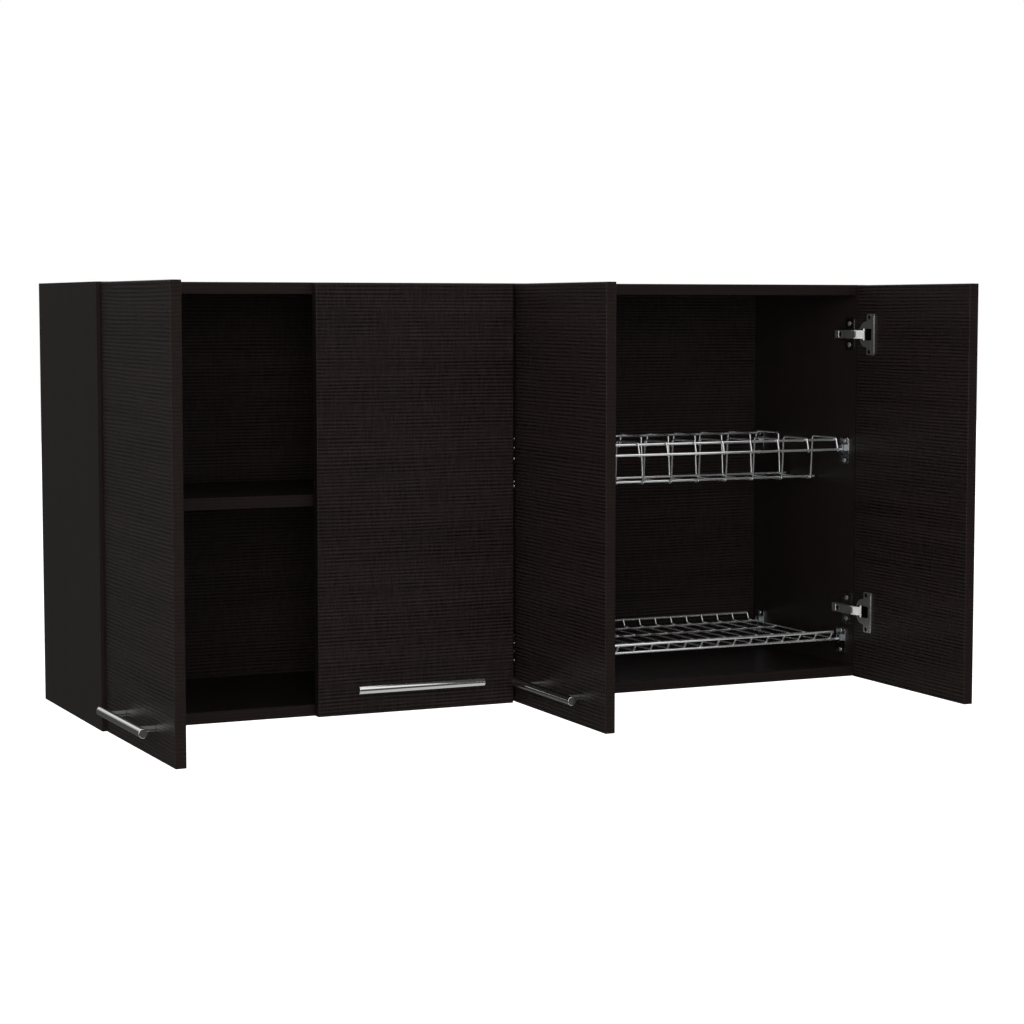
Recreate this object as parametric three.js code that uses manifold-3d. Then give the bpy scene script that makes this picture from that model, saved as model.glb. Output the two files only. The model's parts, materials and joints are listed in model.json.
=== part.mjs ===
// A kitchen wall cabinet with four doors on concealed hinges, a fixed shelf, and two lift-out wire racks for
// plates and cups. Millimetres, +X to the right, +Y towards the wall, +Z up. The origin is the middle of the
// back, on the wall plane.
import * as THREE from 'three';
import { mergeVertices } from 'three/addons/utils/BufferGeometryUtils.js';
import Module from 'manifold-3d';

const wasm = await Module();
wasm.setup();

// Carcass
const width = 1200;
const height = 600;
const depth = 305;
const boardThickness = 16;
const backThickness = 4;
const backRebate = 9;
const backClearance = 0.5;
const shelfUnderside = 292;
const shelfSetback = 6;
const shelfClearance = 1;
const shelfPinRadius = 2.5;
const shelfPinLength = 8;
const shelfPinInset = 37;

// Doors
const doorThickness = 15;
const doorGap = 3;
const doorStandOff = 3;
const doorEndReveal = 0.5;
const doorEdgeRadius = 0.8;
const leftDoorAngle = 89.5;
const middleDoorAngle = 91;
const rightDoorAngle = 89;

// Handles
const handleHingeMargin = 57.5;
const handleFreeMargin = 49.5;
const handleRadius = 6;
const handleChamfer = 0.8;
const handleProjection = 25;
const handleHeight = 38.5;
const handleOverhang = 31;
const handlePostRadius = 4;

// Hinges: where the door's turning axis lies, and the pieces round it
const pivotInset = 7.5;
const pivotForward = 14;
const upperHingeDrop = 75;
const lowerHingeRise = 103.5;
const linkRatio = 1.15;
const linkClosedTilt = -4.5;
const linkLength = 16.5;
const linkWidth = 12.6;
const linkWall = 1.3;
const linkRise = 4.2;
const linkEyeRadius = 2.8;
const linkTipRadius = 2;
const linkArchRise = 0.8;
const linkArchStart = 4;
const linkArchEnd = 13.3;
const linkArchHeel = 15.2;
const linkWebStart = 4.5;
const linkWebOverhang = 1.5;
const linkPinRadius = 1.2;
const linkPivotInset = 16;
const linkPivotRise = 3.4;

const armNoseRadius = 2.8;
const armNoseHeight = 9;
const armShoulder = 10;
const armBodyRise = 3.5;
const armBodyTop = 11.8;
const armRear = 44;
const armRearChamfer = 1.5;
const armCrankFront = 5;
const armCrankBack = 16;
const armWall = 1.6;
const armPinClearance = 0.3;
const armHoleRadius = 1.6;
const armRearHoleSetback = 40;
const armScrewSetback = 27;
const armScrewRadius = 2.6;
const armSlotSetback = 16;
const armSlotWidth = 3.2;
const armSlotLength = 6;

const plateThickness = 2;
const plateStripTop = 3.2;
const plateStripFront = 1;
const plateStripHeight = 16;
const plateWingFront = 4;
const plateWingDepth = 25;
const plateWingHeight = 50;
const plateCornerRadius = 4;
const plateScrewSpacing = 32;
const plateScrewSetback = 17;
const plateScrewRadius = 2;
const plateStripCorner = 1.3;
const plateRailTop = 7.5;
const plateRailFront = 17.2;
const plateRailRear = 36;

const cupRadius = 17.5;
const cupDepth = 12.3;
const cupFloor = 0.8;
const cupInset = 28;
const cupBoreClearance = 0.2;
const cupChamfer = 1;
const cupPocketLength = 31;
const cupPocketHeight = 18;
const cupPocketCorner = 2.5;
const cupNotchSide = 1;
const cupNotchDrop = 1;
const flangeThickness = 1.2;
const flangeRimWidth = 2;
const flangeBarInset = 30;
const flangeBarWidth = 22;
const flangeBarHeight = 62;
const flangeCornerRadius = 3;
const flangeLipWidth = 1.5;
const flangeLipRise = 1.1;
const flangeScrewSpacing = 52;
const flangeScrewInset = 37.5;
const flangeScrewRadius = 1.9;

// Racks
const frameWireRadius = 2;
const hoopWireRadius = 1.5;
const gridWireRadius = 1.4;
const wireSink = 0.7;
const wireBendRadius = 4;
const rackEndClearance = 4;
const plateRackWireHeight = 348.5;
const plateRackFront = 27;
const plateRackRear = 281;
const plateRackRise = 17.5;
const plateRackDrop = 49;
const plateRackLegDrop = 3;
const plateRackLegLean = 6;
const plateRackShelf = 67.5;
const plateRackLean = 5;
const hoopPitch = 48;
const hoopWidePitch = 52.4;
const hoopWideGaps = 2;
const hoopLeftMargin = 22.6;
const hoopRightMargin = 8.6;
const cupRackWireHeight = 54;
const cupRackFront = 27;
const cupRackRear = 281;
const cupRackRise = 13;
const cupRackRailInset = 5;
const gridPitch = 28.6;
const gridLeftMargin = 6.6;
const gridRightMargin = 18;
const cupRackRails = 2;

// Rack brackets
const bracketThickness = 2.5;
const bracketHalfWidth = 13;
const bracketTop = 18;
const bracketFoot = 22;
const bracketCornerRadius = 4;
const bracketScrewRise = 13;
const bracketScrewDrop = 17;
const bracketScrewRadius = 1.8;
const cradleReach = 6;
const cradleWall = 3;
const cradleTop = 7;
const cradleSlack = 0.3;

// Hanging plates let into the rear edges of the sides
const hangerWidth = 13;
const hangerHeight = 76;
const hangerThickness = 2;
const hangerTopInset = 30;
const hangerCornerRadius = 3;
const hangerScrewSpacing = 60;
const hangerScrewRadius = 2.2;
const hangerKeyholeRadius = 4.5;
const hangerKeyholeSlot = 2.6;
const hangerKeyholeRise = 11;
const hangerPocketHalfWidth = 5.5;
const hangerPocketMargin = 5.5;
const hangerPocketDepth = 12;
const hangerFit = 0.3;

// Gaps and drawing fineness
const seatGap = 0.3;
const overrun = 2;
const weldTolerance = 1e-4;
const coarseSides = 6;
const roundSides = 12;
const cupSides = 18;
const wireSides = 6;
const cornerSteps = 1;
const noseSteps = 2;
const bendSteps = 1;

// Planes worked out from the sizes above
const left = -width / 2;
const right = width / 2;
const front = -depth;
const bottom = -height / 2;
const top = height / 2;
const backFace = -backThickness;
const innerLeft = left + boardThickness;
const innerRight = right - boardThickness;
const dividerLeft = -boardThickness / 2;
const dividerRight = boardThickness / 2;
const innerTop = top - boardThickness;
const innerBottom = bottom + boardThickness;
const doorWidth = width / 4 - doorGap;
const doorReveal = doorGap / 2;
const doorHeight = height - 2 * doorEndReveal;
const leafInner = pivotForward - doorStandOff;
const leafOuter = leafInner - doorThickness;
const flangeFoot = leafInner + seatGap;
const cupCentre = cupInset - pivotInset;

const boardFinish = { color: 0x241c1a, roughness: 0.42, metalness: 0 };
const backFinish = { color: 0x2a2220, roughness: 0.5, metalness: 0 };
const satinSteel = { color: 0xb9bbbd, roughness: 0.3, metalness: 1 };
const nickelSteel = { color: 0x8d8c8a, roughness: 0.38, metalness: 1 };
const brightSteel = { color: 0xd4d4d2, roughness: 0.22, metalness: 1 };
const chromeWire = { color: 0xc9cccf, roughness: 0.15, metalness: 1 };
const zincPlate = { color: 0xa8abad, roughness: 0.35, metalness: 1 };

// Turns a closed three.js geometry into a solid that can be joined and cut
function toSolid(geometry) {
  const bare = geometry.index ? geometry.toNonIndexed() : geometry.clone();
  bare.deleteAttribute('normal');
  bare.deleteAttribute('uv');
  const merged = mergeVertices(bare, weldTolerance);
  const vertProperties = new Float32Array(merged.attributes.position.array);
  const triVerts = new Uint32Array(merged.index.array);
  return new wasm.Manifold(new wasm.Mesh({ numProp: 3, vertProperties, triVerts }));
}

function toGeometry(solid) {
  const mesh = solid.getMesh();
  const geometry = new THREE.BufferGeometry();
  geometry.setAttribute('position', new THREE.BufferAttribute(mesh.vertProperties, 3));
  geometry.setIndex(new THREE.BufferAttribute(mesh.triVerts, 1));
  geometry.computeVertexNormals();
  return geometry;
}

function joined(...geometries) {
  const [first, ...others] = geometries.map(toSolid);
  return toGeometry(others.reduce((whole, piece) => whole.add(piece), first));
}

function cut(body, ...tools) {
  return toGeometry(tools.map(toSolid).reduce((rest, tool) => rest.subtract(tool), toSolid(body)));
}

function block([x0, x1], [y0, y1], [z0, z1]) {
  const geometry = new THREE.BoxGeometry(x1 - x0, y1 - y0, z1 - z0);
  return geometry.translate((x0 + x1) / 2, (y0 + y1) / 2, (z0 + z1) / 2);
}

function outline(points) {
  return new THREE.Shape(points.map(([a, b]) => new THREE.Vector2(a, b)));
}

function roundedOutline(a0, a1, b0, b1, radius) {
  const shape = new THREE.Shape();
  shape.moveTo(a0 + radius, b0);
  shape.lineTo(a1 - radius, b0);
  shape.absarc(a1 - radius, b0 + radius, radius, -Math.PI / 2, 0);
  shape.absarc(a1 - radius, b1 - radius, radius, 0, Math.PI / 2);
  shape.absarc(a0 + radius, b1 - radius, radius, Math.PI / 2, Math.PI);
  shape.absarc(a0 + radius, b0 + radius, radius, Math.PI, 1.5 * Math.PI);
  return shape;
}

// Extrudes an outline along one axis: its two coordinates are the other two axes, in X, Y, Z order
function prism(axis, shape, low, high, options = {}) {
  const span = high - low;
  const settings = { depth: span, bevelEnabled: false, curveSegments: cornerSteps, ...options };
  const geometry = new THREE.ExtrudeGeometry(shape, settings);
  const turn = new THREE.Matrix4();
  if (axis === 'x') {
    turn.set(0, 0, 1, low, 1, 0, 0, 0, 0, 1, 0, 0, 0, 0, 0, 1);
  } else if (axis === 'y') {
    turn.set(1, 0, 0, 0, 0, 0, -1, high, 0, 1, 0, 0, 0, 0, 0, 1);
  } else {
    turn.makeTranslation(0, 0, low);
  }
  return geometry.applyMatrix4(turn);
}

// A round bar or drill along one axis; the centre is given on the other two axes
function rod(axis, radius, [a, b], low, high, sides = roundSides) {
  const geometry = new THREE.CylinderGeometry(radius, radius, high - low, sides);
  const middle = (low + high) / 2;
  if (axis === 'x') {
    return geometry.rotateZ(-Math.PI / 2).translate(middle, a, b);
  }
  if (axis === 'y') {
    return geometry.translate(a, middle, b);
  }
  return geometry.rotateX(Math.PI / 2).translate(a, b, middle);
}

// A bent wire's centre line: straight runs joined by round bends of one radius
class BentLine extends THREE.Curve {
  constructor(corners, radius) {
    super();
    this.stops = [corners[0]];
    for (let i = 1; i < corners.length - 1; i += 1) {
      this.stops.push(...BentLine.bend(corners[i - 1], corners[i], corners[i + 1], radius));
    }
    this.stops.push(corners[corners.length - 1]);
  }

  static bend(before, corner, after, radius) {
    const back = before.clone().sub(corner).normalize();
    const onward = after.clone().sub(corner).normalize();
    const halfAngle = back.angleTo(onward) / 2;
    const reach = radius / Math.tan(halfAngle);
    const inward = back.clone().add(onward).normalize();
    const centre = inward.multiplyScalar(radius / Math.sin(halfAngle)).add(corner);
    const start = back.multiplyScalar(reach).add(corner).sub(centre);
    const end = onward.multiplyScalar(reach).add(corner).sub(centre);
    const axis = start.clone().cross(end).normalize();
    const sweep = start.angleTo(end);
    return Array.from({ length: bendSteps + 1 }, (_, k) =>
      start.clone().applyAxisAngle(axis, (sweep * k) / bendSteps).add(centre));
  }

  getPoint(t) {
    const place = t * (this.stops.length - 1);
    const index = Math.min(Math.floor(place), this.stops.length - 2);
    return this.stops[index].clone().lerp(this.stops[index + 1], place - index);
  }

  getPointAt(t) {
    return this.getPoint(t);
  }

  getTangentAt(t) {
    const last = this.stops.length - 1;
    const index = Math.round(t * last);
    const ahead = this.stops[Math.min(index + 1, last)];
    const behind = this.stops[Math.max(index - 1, 0)];
    const to = ahead.clone().sub(this.stops[index]).normalize();
    const from = this.stops[index].clone().sub(behind).normalize();
    return to.add(from).normalize();
  }
}

function wireSection(radius) {
  const angles = Array.from({ length: wireSides }, (_, k) => (2 * Math.PI * k) / wireSides);
  return outline(angles.map((angle) => [radius * Math.cos(angle), radius * Math.sin(angle)]));
}

function bentWire(corners, radius) {
  const path = new BentLine(corners, wireBendRadius);
  const settings = { steps: path.stops.length - 1, bevelEnabled: false, extrudePath: path };
  return new THREE.ExtrudeGeometry(wireSection(radius), settings);
}

function straightWire(y, z, x0, x1, radius) {
  return prism('x', wireSection(radius), x0, x1).translate(0, y, z);
}

const cabinet = new THREE.Group();

function addPiece(parent, name, geometry, finish) {
  const mesh = new THREE.Mesh(geometry, new THREE.MeshStandardMaterial(finish));
  mesh.name = name;
  parent.add(mesh);
}

// The hanging plates: each has two screw holes and, between them, a keyhole for a wall screw's head
const hangerMiddle = top - hangerTopInset - hangerHeight / 2;
const keyholeMouth = hangerMiddle - hangerKeyholeRise / 2;
const keyholeEnd = keyholeMouth + hangerKeyholeRise;

function hangerOutline(side, margin) {
  const x = side * (right - boardThickness / 2);
  const halfWidth = hangerWidth / 2 + margin;
  const halfHeight = hangerHeight / 2 + margin;
  return roundedOutline(x - halfWidth, x + halfWidth, hangerMiddle - halfHeight, hangerMiddle + halfHeight,
    hangerCornerRadius);
}

function hangerRecess(side) {
  return prism('y', hangerOutline(side, hangerFit), -hangerThickness, overrun);
}

function hangerPocket(side) {
  const x = side * (right - boardThickness / 2);
  return block([x - hangerPocketHalfWidth, x + hangerPocketHalfWidth], [-hangerPocketDepth, overrun],
    [keyholeMouth - hangerPocketMargin, keyholeEnd + hangerPocketMargin]);
}

function makeHanger(side) {
  const x = side * (right - boardThickness / 2);
  const [low, high] = [-hangerThickness - overrun, overrun];
  const plate = prism('y', hangerOutline(side, 0), -hangerThickness, 0);
  const mouth = rod('y', hangerKeyholeRadius, [x, keyholeMouth], low, high);
  const slot = block([x - hangerKeyholeSlot, x + hangerKeyholeSlot], [low, high], [keyholeMouth, keyholeEnd]);
  const slotEnd = rod('y', hangerKeyholeSlot, [x, keyholeEnd], low, high, coarseSides);
  const screwHoles = [-1, 1].map((end) =>
    rod('y', hangerScrewRadius, [x, hangerMiddle + (end * hangerScrewSpacing) / 2], low, high, coarseSides));
  return cut(plate, joined(mouth, slot, slotEnd), ...screwHoles);
}

// Boards: the sides, top and bottom have a rebate behind for the back
function makeSide(side) {
  const outer = side * right;
  const inner = side * innerRight;
  const rebated = side * (innerRight + backRebate);
  const profile = outline([
    [outer, front], [inner, front], [inner, backFace], [rebated, backFace], [rebated, 0], [outer, 0],
  ]);
  return cut(prism('z', profile, bottom, top), hangerRecess(side), hangerPocket(side));
}

function makeLevel(side) {
  const outer = side * top;
  const inner = side * innerTop;
  const rebated = side * (innerTop + backRebate);
  const profile = outline([
    [front, outer], [front, inner], [backFace, inner], [backFace, rebated], [0, rebated], [0, outer],
  ]);
  return prism('x', profile, innerLeft, innerRight);
}

function makeBack() {
  const halfWidth = innerRight + backRebate - backClearance;
  const halfHeight = innerTop + backRebate - backClearance;
  const sheet = block([-halfWidth, halfWidth], [backFace, 0], [-halfHeight, halfHeight]);
  return cut(sheet, ...[-1, 1].map(hangerRecess), ...[-1, 1].map(hangerPocket));
}

// The shelf lies on two pins at each end; each pin is driven into its board and is part of it here
const shelfPinRows = [front + shelfSetback + shelfPinInset, backFace - shelfPinInset];
const shelfLevel = bottom + shelfUnderside;

function withShelfPins(board, low, high) {
  const z = shelfLevel - shelfPinRadius;
  return joined(board, ...shelfPinRows.map((y) => rod('x', shelfPinRadius, [y, z], low, high, coarseSides)));
}

function makeDivider() {
  const board = block([dividerLeft, dividerRight], [front, backFace], [innerBottom, innerTop]);
  return withShelfPins(board, dividerLeft - shelfPinLength, dividerLeft + overrun);
}

function makeShelf() {
  return block([innerLeft + shelfClearance, dividerLeft - shelfClearance],
    [front + shelfSetback, backFace - shelfClearance], [shelfLevel, shelfLevel + boardThickness]);
}

addPiece(cabinet, 'left_side_panel',
  withShelfPins(makeSide(-1), innerLeft - overrun, innerLeft + shelfPinLength), boardFinish);
addPiece(cabinet, 'right_side_panel', makeSide(1), boardFinish);
addPiece(cabinet, 'top_panel', makeLevel(1), boardFinish);
addPiece(cabinet, 'bottom_panel', makeLevel(-1), boardFinish);
addPiece(cabinet, 'centre_divider', makeDivider(), boardFinish);
addPiece(cabinet, 'shelf', makeShelf(), boardFinish);
addPiece(cabinet, 'back_panel', makeBack(), backFinish);
addPiece(cabinet, 'left_hanging_plate', makeHanger(-1), zincPlate);
addPiece(cabinet, 'right_hanging_plate', makeHanger(1), zincPlate);

// Doors, drawn closed round their turning axis: x runs from the hinge edge to the free edge, y inwards
const hingeLevels = [
  ['upper', top - upperHingeDrop],
  ['lower', bottom + lowerHingeRise],
];

function makeLeaf() {
  const low = bottom + doorEndReveal + doorEdgeRadius;
  const high = low + doorHeight - 2 * doorEdgeRadius;
  const near = doorEdgeRadius - pivotInset;
  const far = near + doorWidth - 2 * doorEdgeRadius;
  const shape = outline([[near, low], [far, low], [far, high], [near, high]]);
  const bevel = {
    bevelEnabled: true, bevelSize: doorEdgeRadius, bevelThickness: doorEdgeRadius, bevelSegments: 1,
  };
  const leaf = prism('y', shape, leafOuter + doorEdgeRadius, leafInner - doorEdgeRadius, bevel);
  const boreRadius = cupRadius + cupBoreClearance;
  const bores = hingeLevels.map(([, z]) =>
    rod('y', boreRadius, [cupCentre, z], leafInner - cupDepth, leafInner + overrun, cupSides));
  return cut(leaf, ...bores);
}

// A round bar on two posts
function makeHandle() {
  const near = handleHingeMargin - pivotInset;
  const far = doorWidth - pivotInset - handleFreeMargin;
  const middle = (near + far) / 2;
  const half = (far - near) / 2;
  const z = bottom + doorEndReveal + handleHeight;
  const y = leafOuter - handleProjection;
  const ends = handleRadius - handleChamfer;
  const profile = [[0, -half], [ends, -half], [handleRadius, handleChamfer - half],
    [handleRadius, half - handleChamfer], [ends, half], [0, half]];
  const bar = new THREE.LatheGeometry(profile.map(([r, along]) => new THREE.Vector2(r, along)), roundSides)
    .rotateZ(-Math.PI / 2).translate(middle, y, z);
  const posts = [near + handleOverhang, far - handleOverhang].map((x) =>
    rod('y', handlePostRadius, [x, z], y, leafOuter - seatGap));
  return joined(bar, ...posts);
}

// The cup that the door's bore holds, with its flange, its pocket for the link and its two screw holes
function makeCup() {
  const floor = flangeFoot - cupDepth;
  const face = flangeFoot + flangeThickness;
  const profile = [[0, floor], [cupRadius - cupChamfer, floor], [cupRadius, floor + cupChamfer],
    [cupRadius, flangeFoot + flangeThickness / 2], [0, flangeFoot + flangeThickness / 2]];
  const bowl = new THREE.LatheGeometry(profile.map(([r, y]) => new THREE.Vector2(r, y)), cupSides);
  const rim = rod('y', cupRadius + flangeRimWidth, [0, 0], flangeFoot, face, cupSides);
  const barStart = flangeBarInset - cupInset;
  const barEnd = barStart + flangeBarWidth;
  const half = flangeBarHeight / 2;
  const bar = prism('y', roundedOutline(barStart, barEnd, -half, half, flangeCornerRadius), flangeFoot, face);
  const lip = block([barEnd - flangeLipWidth, barEnd], [flangeFoot, face + flangeLipRise],
    [flangeCornerRadius - half, half - flangeCornerRadius]);
  const pocketShape = roundedOutline(-cupPocketLength / 2, cupPocketLength / 2, -cupPocketHeight / 2,
    cupPocketHeight / 2, cupPocketCorner);
  const pocket = prism('y', pocketShape, floor + cupFloor, face + overrun);
  const notchHalf = linkWidth / 2 + cupNotchSide;
  const notch = block([-cupRadius - flangeRimWidth - overrun, cupPocketCorner - cupPocketLength / 2],
    [flangeFoot - cupNotchDrop, face + overrun], [-notchHalf, notchHalf]);
  const screwHoles = [-1, 1].map((end) =>
    rod('y', flangeScrewRadius, [flangeScrewInset - cupInset, (end * flangeScrewSpacing) / 2],
      flangeFoot - overrun, face + overrun, coarseSides));
  return cut(joined(bowl, rim, bar, lip), pocket, notch, ...screwHoles).translate(cupCentre, 0, 0);
}

// The link: a channel with two arched ears, drawn with its arm pivot at the origin and its cup pivot along x.
// The arch lets the wide open link pass over the cup's edge, and the far pin reaches to the cup's two walls.
function makeLink() {
  const half = linkWidth / 2;
  const inside = half - linkWall;
  const tip = linkLength + linkWebOverhang;
  const shape = new THREE.Shape();
  shape.moveTo(0, linkEyeRadius);
  shape.absarc(0, 0, linkEyeRadius, Math.PI / 2, 1.5 * Math.PI);
  shape.lineTo(linkArchStart, linkArchRise);
  shape.lineTo(linkArchEnd, linkArchRise);
  shape.lineTo(linkArchHeel, -linkTipRadius);
  shape.lineTo(linkLength, -linkTipRadius);
  shape.absarc(linkLength, 0, linkTipRadius, -Math.PI / 2, 0);
  shape.lineTo(tip, linkRise);
  shape.lineTo(linkWebStart, linkRise);
  const ears = prism('z', shape, -half, half, { curveSegments: noseSteps });
  const reach = linkLength + linkTipRadius + overrun;
  const mouth = block([-linkEyeRadius - overrun, linkWebStart], [-linkRise, linkRise + overrun],
    [-inside, inside]);
  const hollow = block([0, reach], [-linkRise, linkRise - linkWall], [-inside, inside]);
  const armPin = rod('z', linkPinRadius, [0, 0], -half, half, coarseSides);
  const cupPinHalf = cupPocketHeight / 2 - seatGap;
  const cupPin = rod('z', linkPinRadius, [linkLength, 0], -cupPinHalf, cupPinHalf, coarseSides);
  return joined(cut(ears, mouth, hollow), armPin, cupPin);
}

// The arm on its plate, drawn on the board's face: x off the board, y back from the front edge
function makeArm(overlay) {
  const pivotX = pivotInset - overlay + linkPivotInset;
  const pivotY = linkPivotRise - pivotForward;
  const noseLeft = pivotX - armNoseRadius;
  const noseRight = pivotX + armNoseRadius;
  const shape = new THREE.Shape();
  shape.moveTo(armBodyRise, armRear);
  shape.lineTo(armBodyRise, armSlotSetback);
  shape.lineTo(noseLeft, armCrankFront);
  shape.lineTo(noseLeft, pivotY);
  shape.absarc(pivotX, pivotY, armNoseRadius, Math.PI, 2 * Math.PI);
  shape.lineTo(noseRight, armCrankFront);
  shape.lineTo(armBodyTop, armCrankBack);
  shape.lineTo(armBodyTop, armRear - armRearChamfer);
  shape.lineTo(armBodyTop - armRearChamfer, armRear);
  const half = linkWidth / 2;
  const body = prism('z', shape, -half, half, { curveSegments: noseSteps });
  const noseEnd = pivotY + linkRise + linkEyeRadius;
  const reach = [noseLeft - overrun, noseRight + overrun];
  const trims = [-1, 1].map((end) => {
    const faces = [(end * armNoseHeight) / 2, end * (half + overrun)].sort((a, b) => a - b);
    return block(reach, [pivotY - armShoulder, noseEnd], faces);
  });
  const channel = block([0, armBodyTop - armWall], [armSlotSetback, armRear - armWall],
    [armWall - half, half - armWall]);
  const pinHole = rod('z', linkPinRadius + armPinClearance, [pivotX, pivotY], -half, half, coarseSides);
  const rearHole = rod('x', armHoleRadius, [armRearHoleSetback, 0], 0, armBodyTop + overrun, coarseSides);
  const screwHole = rod('x', armScrewRadius, [armScrewSetback, 0], 0, armBodyTop + overrun, coarseSides);
  const slotFront = armSlotSetback + armSlotWidth / 2;
  const slot = prism('x', roundedOutline(slotFront, slotFront + armSlotWidth, -armSlotLength / 2,
    armSlotLength / 2, armSlotWidth / 2), 0, armBodyTop + overrun);
  return cut(body, ...trims, channel, pinHole, rearHole, screwHole, slot);
}

// The mounting plate: a strip under the arm, two wings, and a rail that the arm's channel sits over
function makePlate() {
  const halfStrip = plateStripHeight / 2;
  const halfWing = plateWingHeight / 2;
  const strip = prism('x', roundedOutline(plateStripFront, armRear, -halfStrip, halfStrip, plateStripCorner),
    0, plateStripTop);
  const wingRear = plateWingFront + plateWingDepth;
  const wings = prism('x', roundedOutline(plateWingFront, wingRear, -halfWing, halfWing, plateCornerRadius),
    0, plateThickness);
  const railHalf = linkWidth / 2 - armWall - seatGap;
  const rail = block([plateThickness, plateRailTop], [plateRailFront, plateRailRear], [-railHalf, railHalf]);
  const holes = [-1, 1].map((end) =>
    rod('x', plateScrewRadius, [plateScrewSetback, (end * plateScrewSpacing) / 2], -overrun,
      plateThickness + overrun, coarseSides));
  return cut(joined(strip, wings, rail), ...holes);
}

// Each door: the side it opens from, its hinge edge, and the board face that carries its hinges
const doors = [
  { name: 'door_1', side: 1, edge: left + doorReveal, face: innerLeft, open: leftDoorAngle },
  { name: 'door_2', side: -1, edge: -doorReveal, face: dividerLeft, open: 0 },
  { name: 'door_3', side: 1, edge: doorReveal, face: dividerRight, open: middleDoorAngle },
  { name: 'door_4', side: -1, edge: right - doorReveal, face: innerRight, open: rightDoorAngle },
];

const leafGeometry = makeLeaf();
const handleGeometry = makeHandle();
const cupGeometry = makeCup();
const linkGeometry = makeLink();
const plateGeometry = makePlate();

function groupAt(x, y, z, side, degrees) {
  const group = new THREE.Group();
  group.position.set(x, y, z);
  group.rotation.z = THREE.MathUtils.degToRad(degrees);
  group.scale.x = side;
  cabinet.add(group);
  return group;
}

for (const { name, side, edge, face, open } of doors) {
  const pivotX = edge + side * pivotInset;
  const pivotY = front - pivotForward;
  const leaf = groupAt(pivotX, pivotY, 0, side, -side * open);
  addPiece(leaf, name, leafGeometry, boardFinish);
  addPiece(leaf, `${name}_handle`, handleGeometry, satinSteel);
  const overlay = side * (face - edge);
  const armGeometry = makeArm(overlay);
  for (const [level, z] of hingeLevels) {
    const hinge = `${name}_${level}_hinge`;
    addPiece(leaf, `${hinge}_cup`, cupGeometry.clone().translate(0, 0, z), nickelSteel);
    const carried = groupAt(face, front, z, side, 0);
    addPiece(carried, `${hinge}_plate`, plateGeometry, nickelSteel);
    addPiece(carried, `${hinge}_arm`, armGeometry, nickelSteel);
    const linkTurn = linkClosedTilt - linkRatio * open;
    const linkX = pivotX + side * linkPivotInset;
    const linkGroup = groupAt(linkX, pivotY + linkPivotRise, z, side, side * linkTurn);
    addPiece(linkGroup, `${hinge}_link`, linkGeometry, brightSteel);
  }
}

// Racks, between the divider and the right side
const rackLeft = dividerRight + rackEndClearance;
const rackRight = innerRight - rackEndClearance;
const wireReach = frameWireRadius + hoopWireRadius - wireSink;
const gridReach = frameWireRadius + gridWireRadius - wireSink;

function placed(y, height) {
  return [front + y, bottom + height];
}

// Evenly spaced places between two ends, as many as the pitch gives
function spaced(low, high, pitch) {
  const count = Math.round((high - low) / pitch);
  return Array.from({ length: count + 1 }, (_, k) => low + ((high - low) * k) / count);
}

function wireAcross(y, height, x0, x1, radius) {
  const [wireY, wireZ] = placed(y, height);
  return straightWire(wireY, wireZ, x0, x1, radius);
}

// The leaning leg of a hoop touches the front wire, which lies a little above the leg's foot
const plateRackTop = plateRackWireHeight + plateRackRise;
const plateRackFloor = plateRackWireHeight - plateRackDrop;
const plateRackLegFoot = plateRackWireHeight - plateRackLegDrop;
const legRise = plateRackRise + plateRackLegDrop;
const legTouch = plateRackLegDrop / legRise;
const hoopFoot = plateRackFront + wireReach * Math.hypot(plateRackLegLean, legRise) / legRise
  - plateRackLegLean * legTouch;
const hoopShoulder = hoopFoot + plateRackLegLean;
const hoopTrough = hoopShoulder + plateRackShelf + plateRackLean;

// One plate hoop from front to rear: a short leg, a level top, the deep trough, and the same again mirrored
function hoop(x) {
  const middle = (plateRackFront + plateRackRear) / 2;
  const half = [
    [hoopFoot, plateRackLegFoot],
    [hoopShoulder, plateRackTop],
    [hoopShoulder + plateRackShelf, plateRackTop],
    [hoopTrough, plateRackFloor],
  ];
  const mirrored = half.map(([y, z]) => [2 * middle - y, z]).reverse();
  const corners = [...half, ...mirrored].map(([y, z]) => new THREE.Vector3(x, ...placed(y, z)));
  return bentWire(corners, hoopWireRadius);
}

// Hoops at one pitch from the left, then a few wider gaps at the right end
function hoopPlaces() {
  const last = rackRight - hoopRightMargin;
  const even = spaced(rackLeft + hoopLeftMargin, last - hoopWideGaps * hoopWidePitch, hoopPitch);
  const wide = Array.from({ length: hoopWideGaps }, (_, k) => last - hoopWidePitch * k);
  return [...even, ...wide.reverse()];
}

function makePlateRack() {
  const middle = (plateRackFront + plateRackRear) / 2;
  const places = hoopPlaces();
  const hoops = places.map(hoop);
  const rows = [
    [plateRackFront, plateRackWireHeight, rackLeft, rackRight],
    [hoopShoulder + wireBendRadius, plateRackTop - wireReach, places[0], places[places.length - 1]],
    [hoopTrough + wireBendRadius, plateRackFloor + wireReach, rackLeft, rackRight],
  ];
  const wires = rows.flatMap(([y, z, x0, x1]) => [
    wireAcross(y, z, x0, x1, frameWireRadius),
    wireAcross(2 * middle - y, z, x0, x1, frameWireRadius),
  ]);
  return joined(...wires, ...hoops);
}

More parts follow.
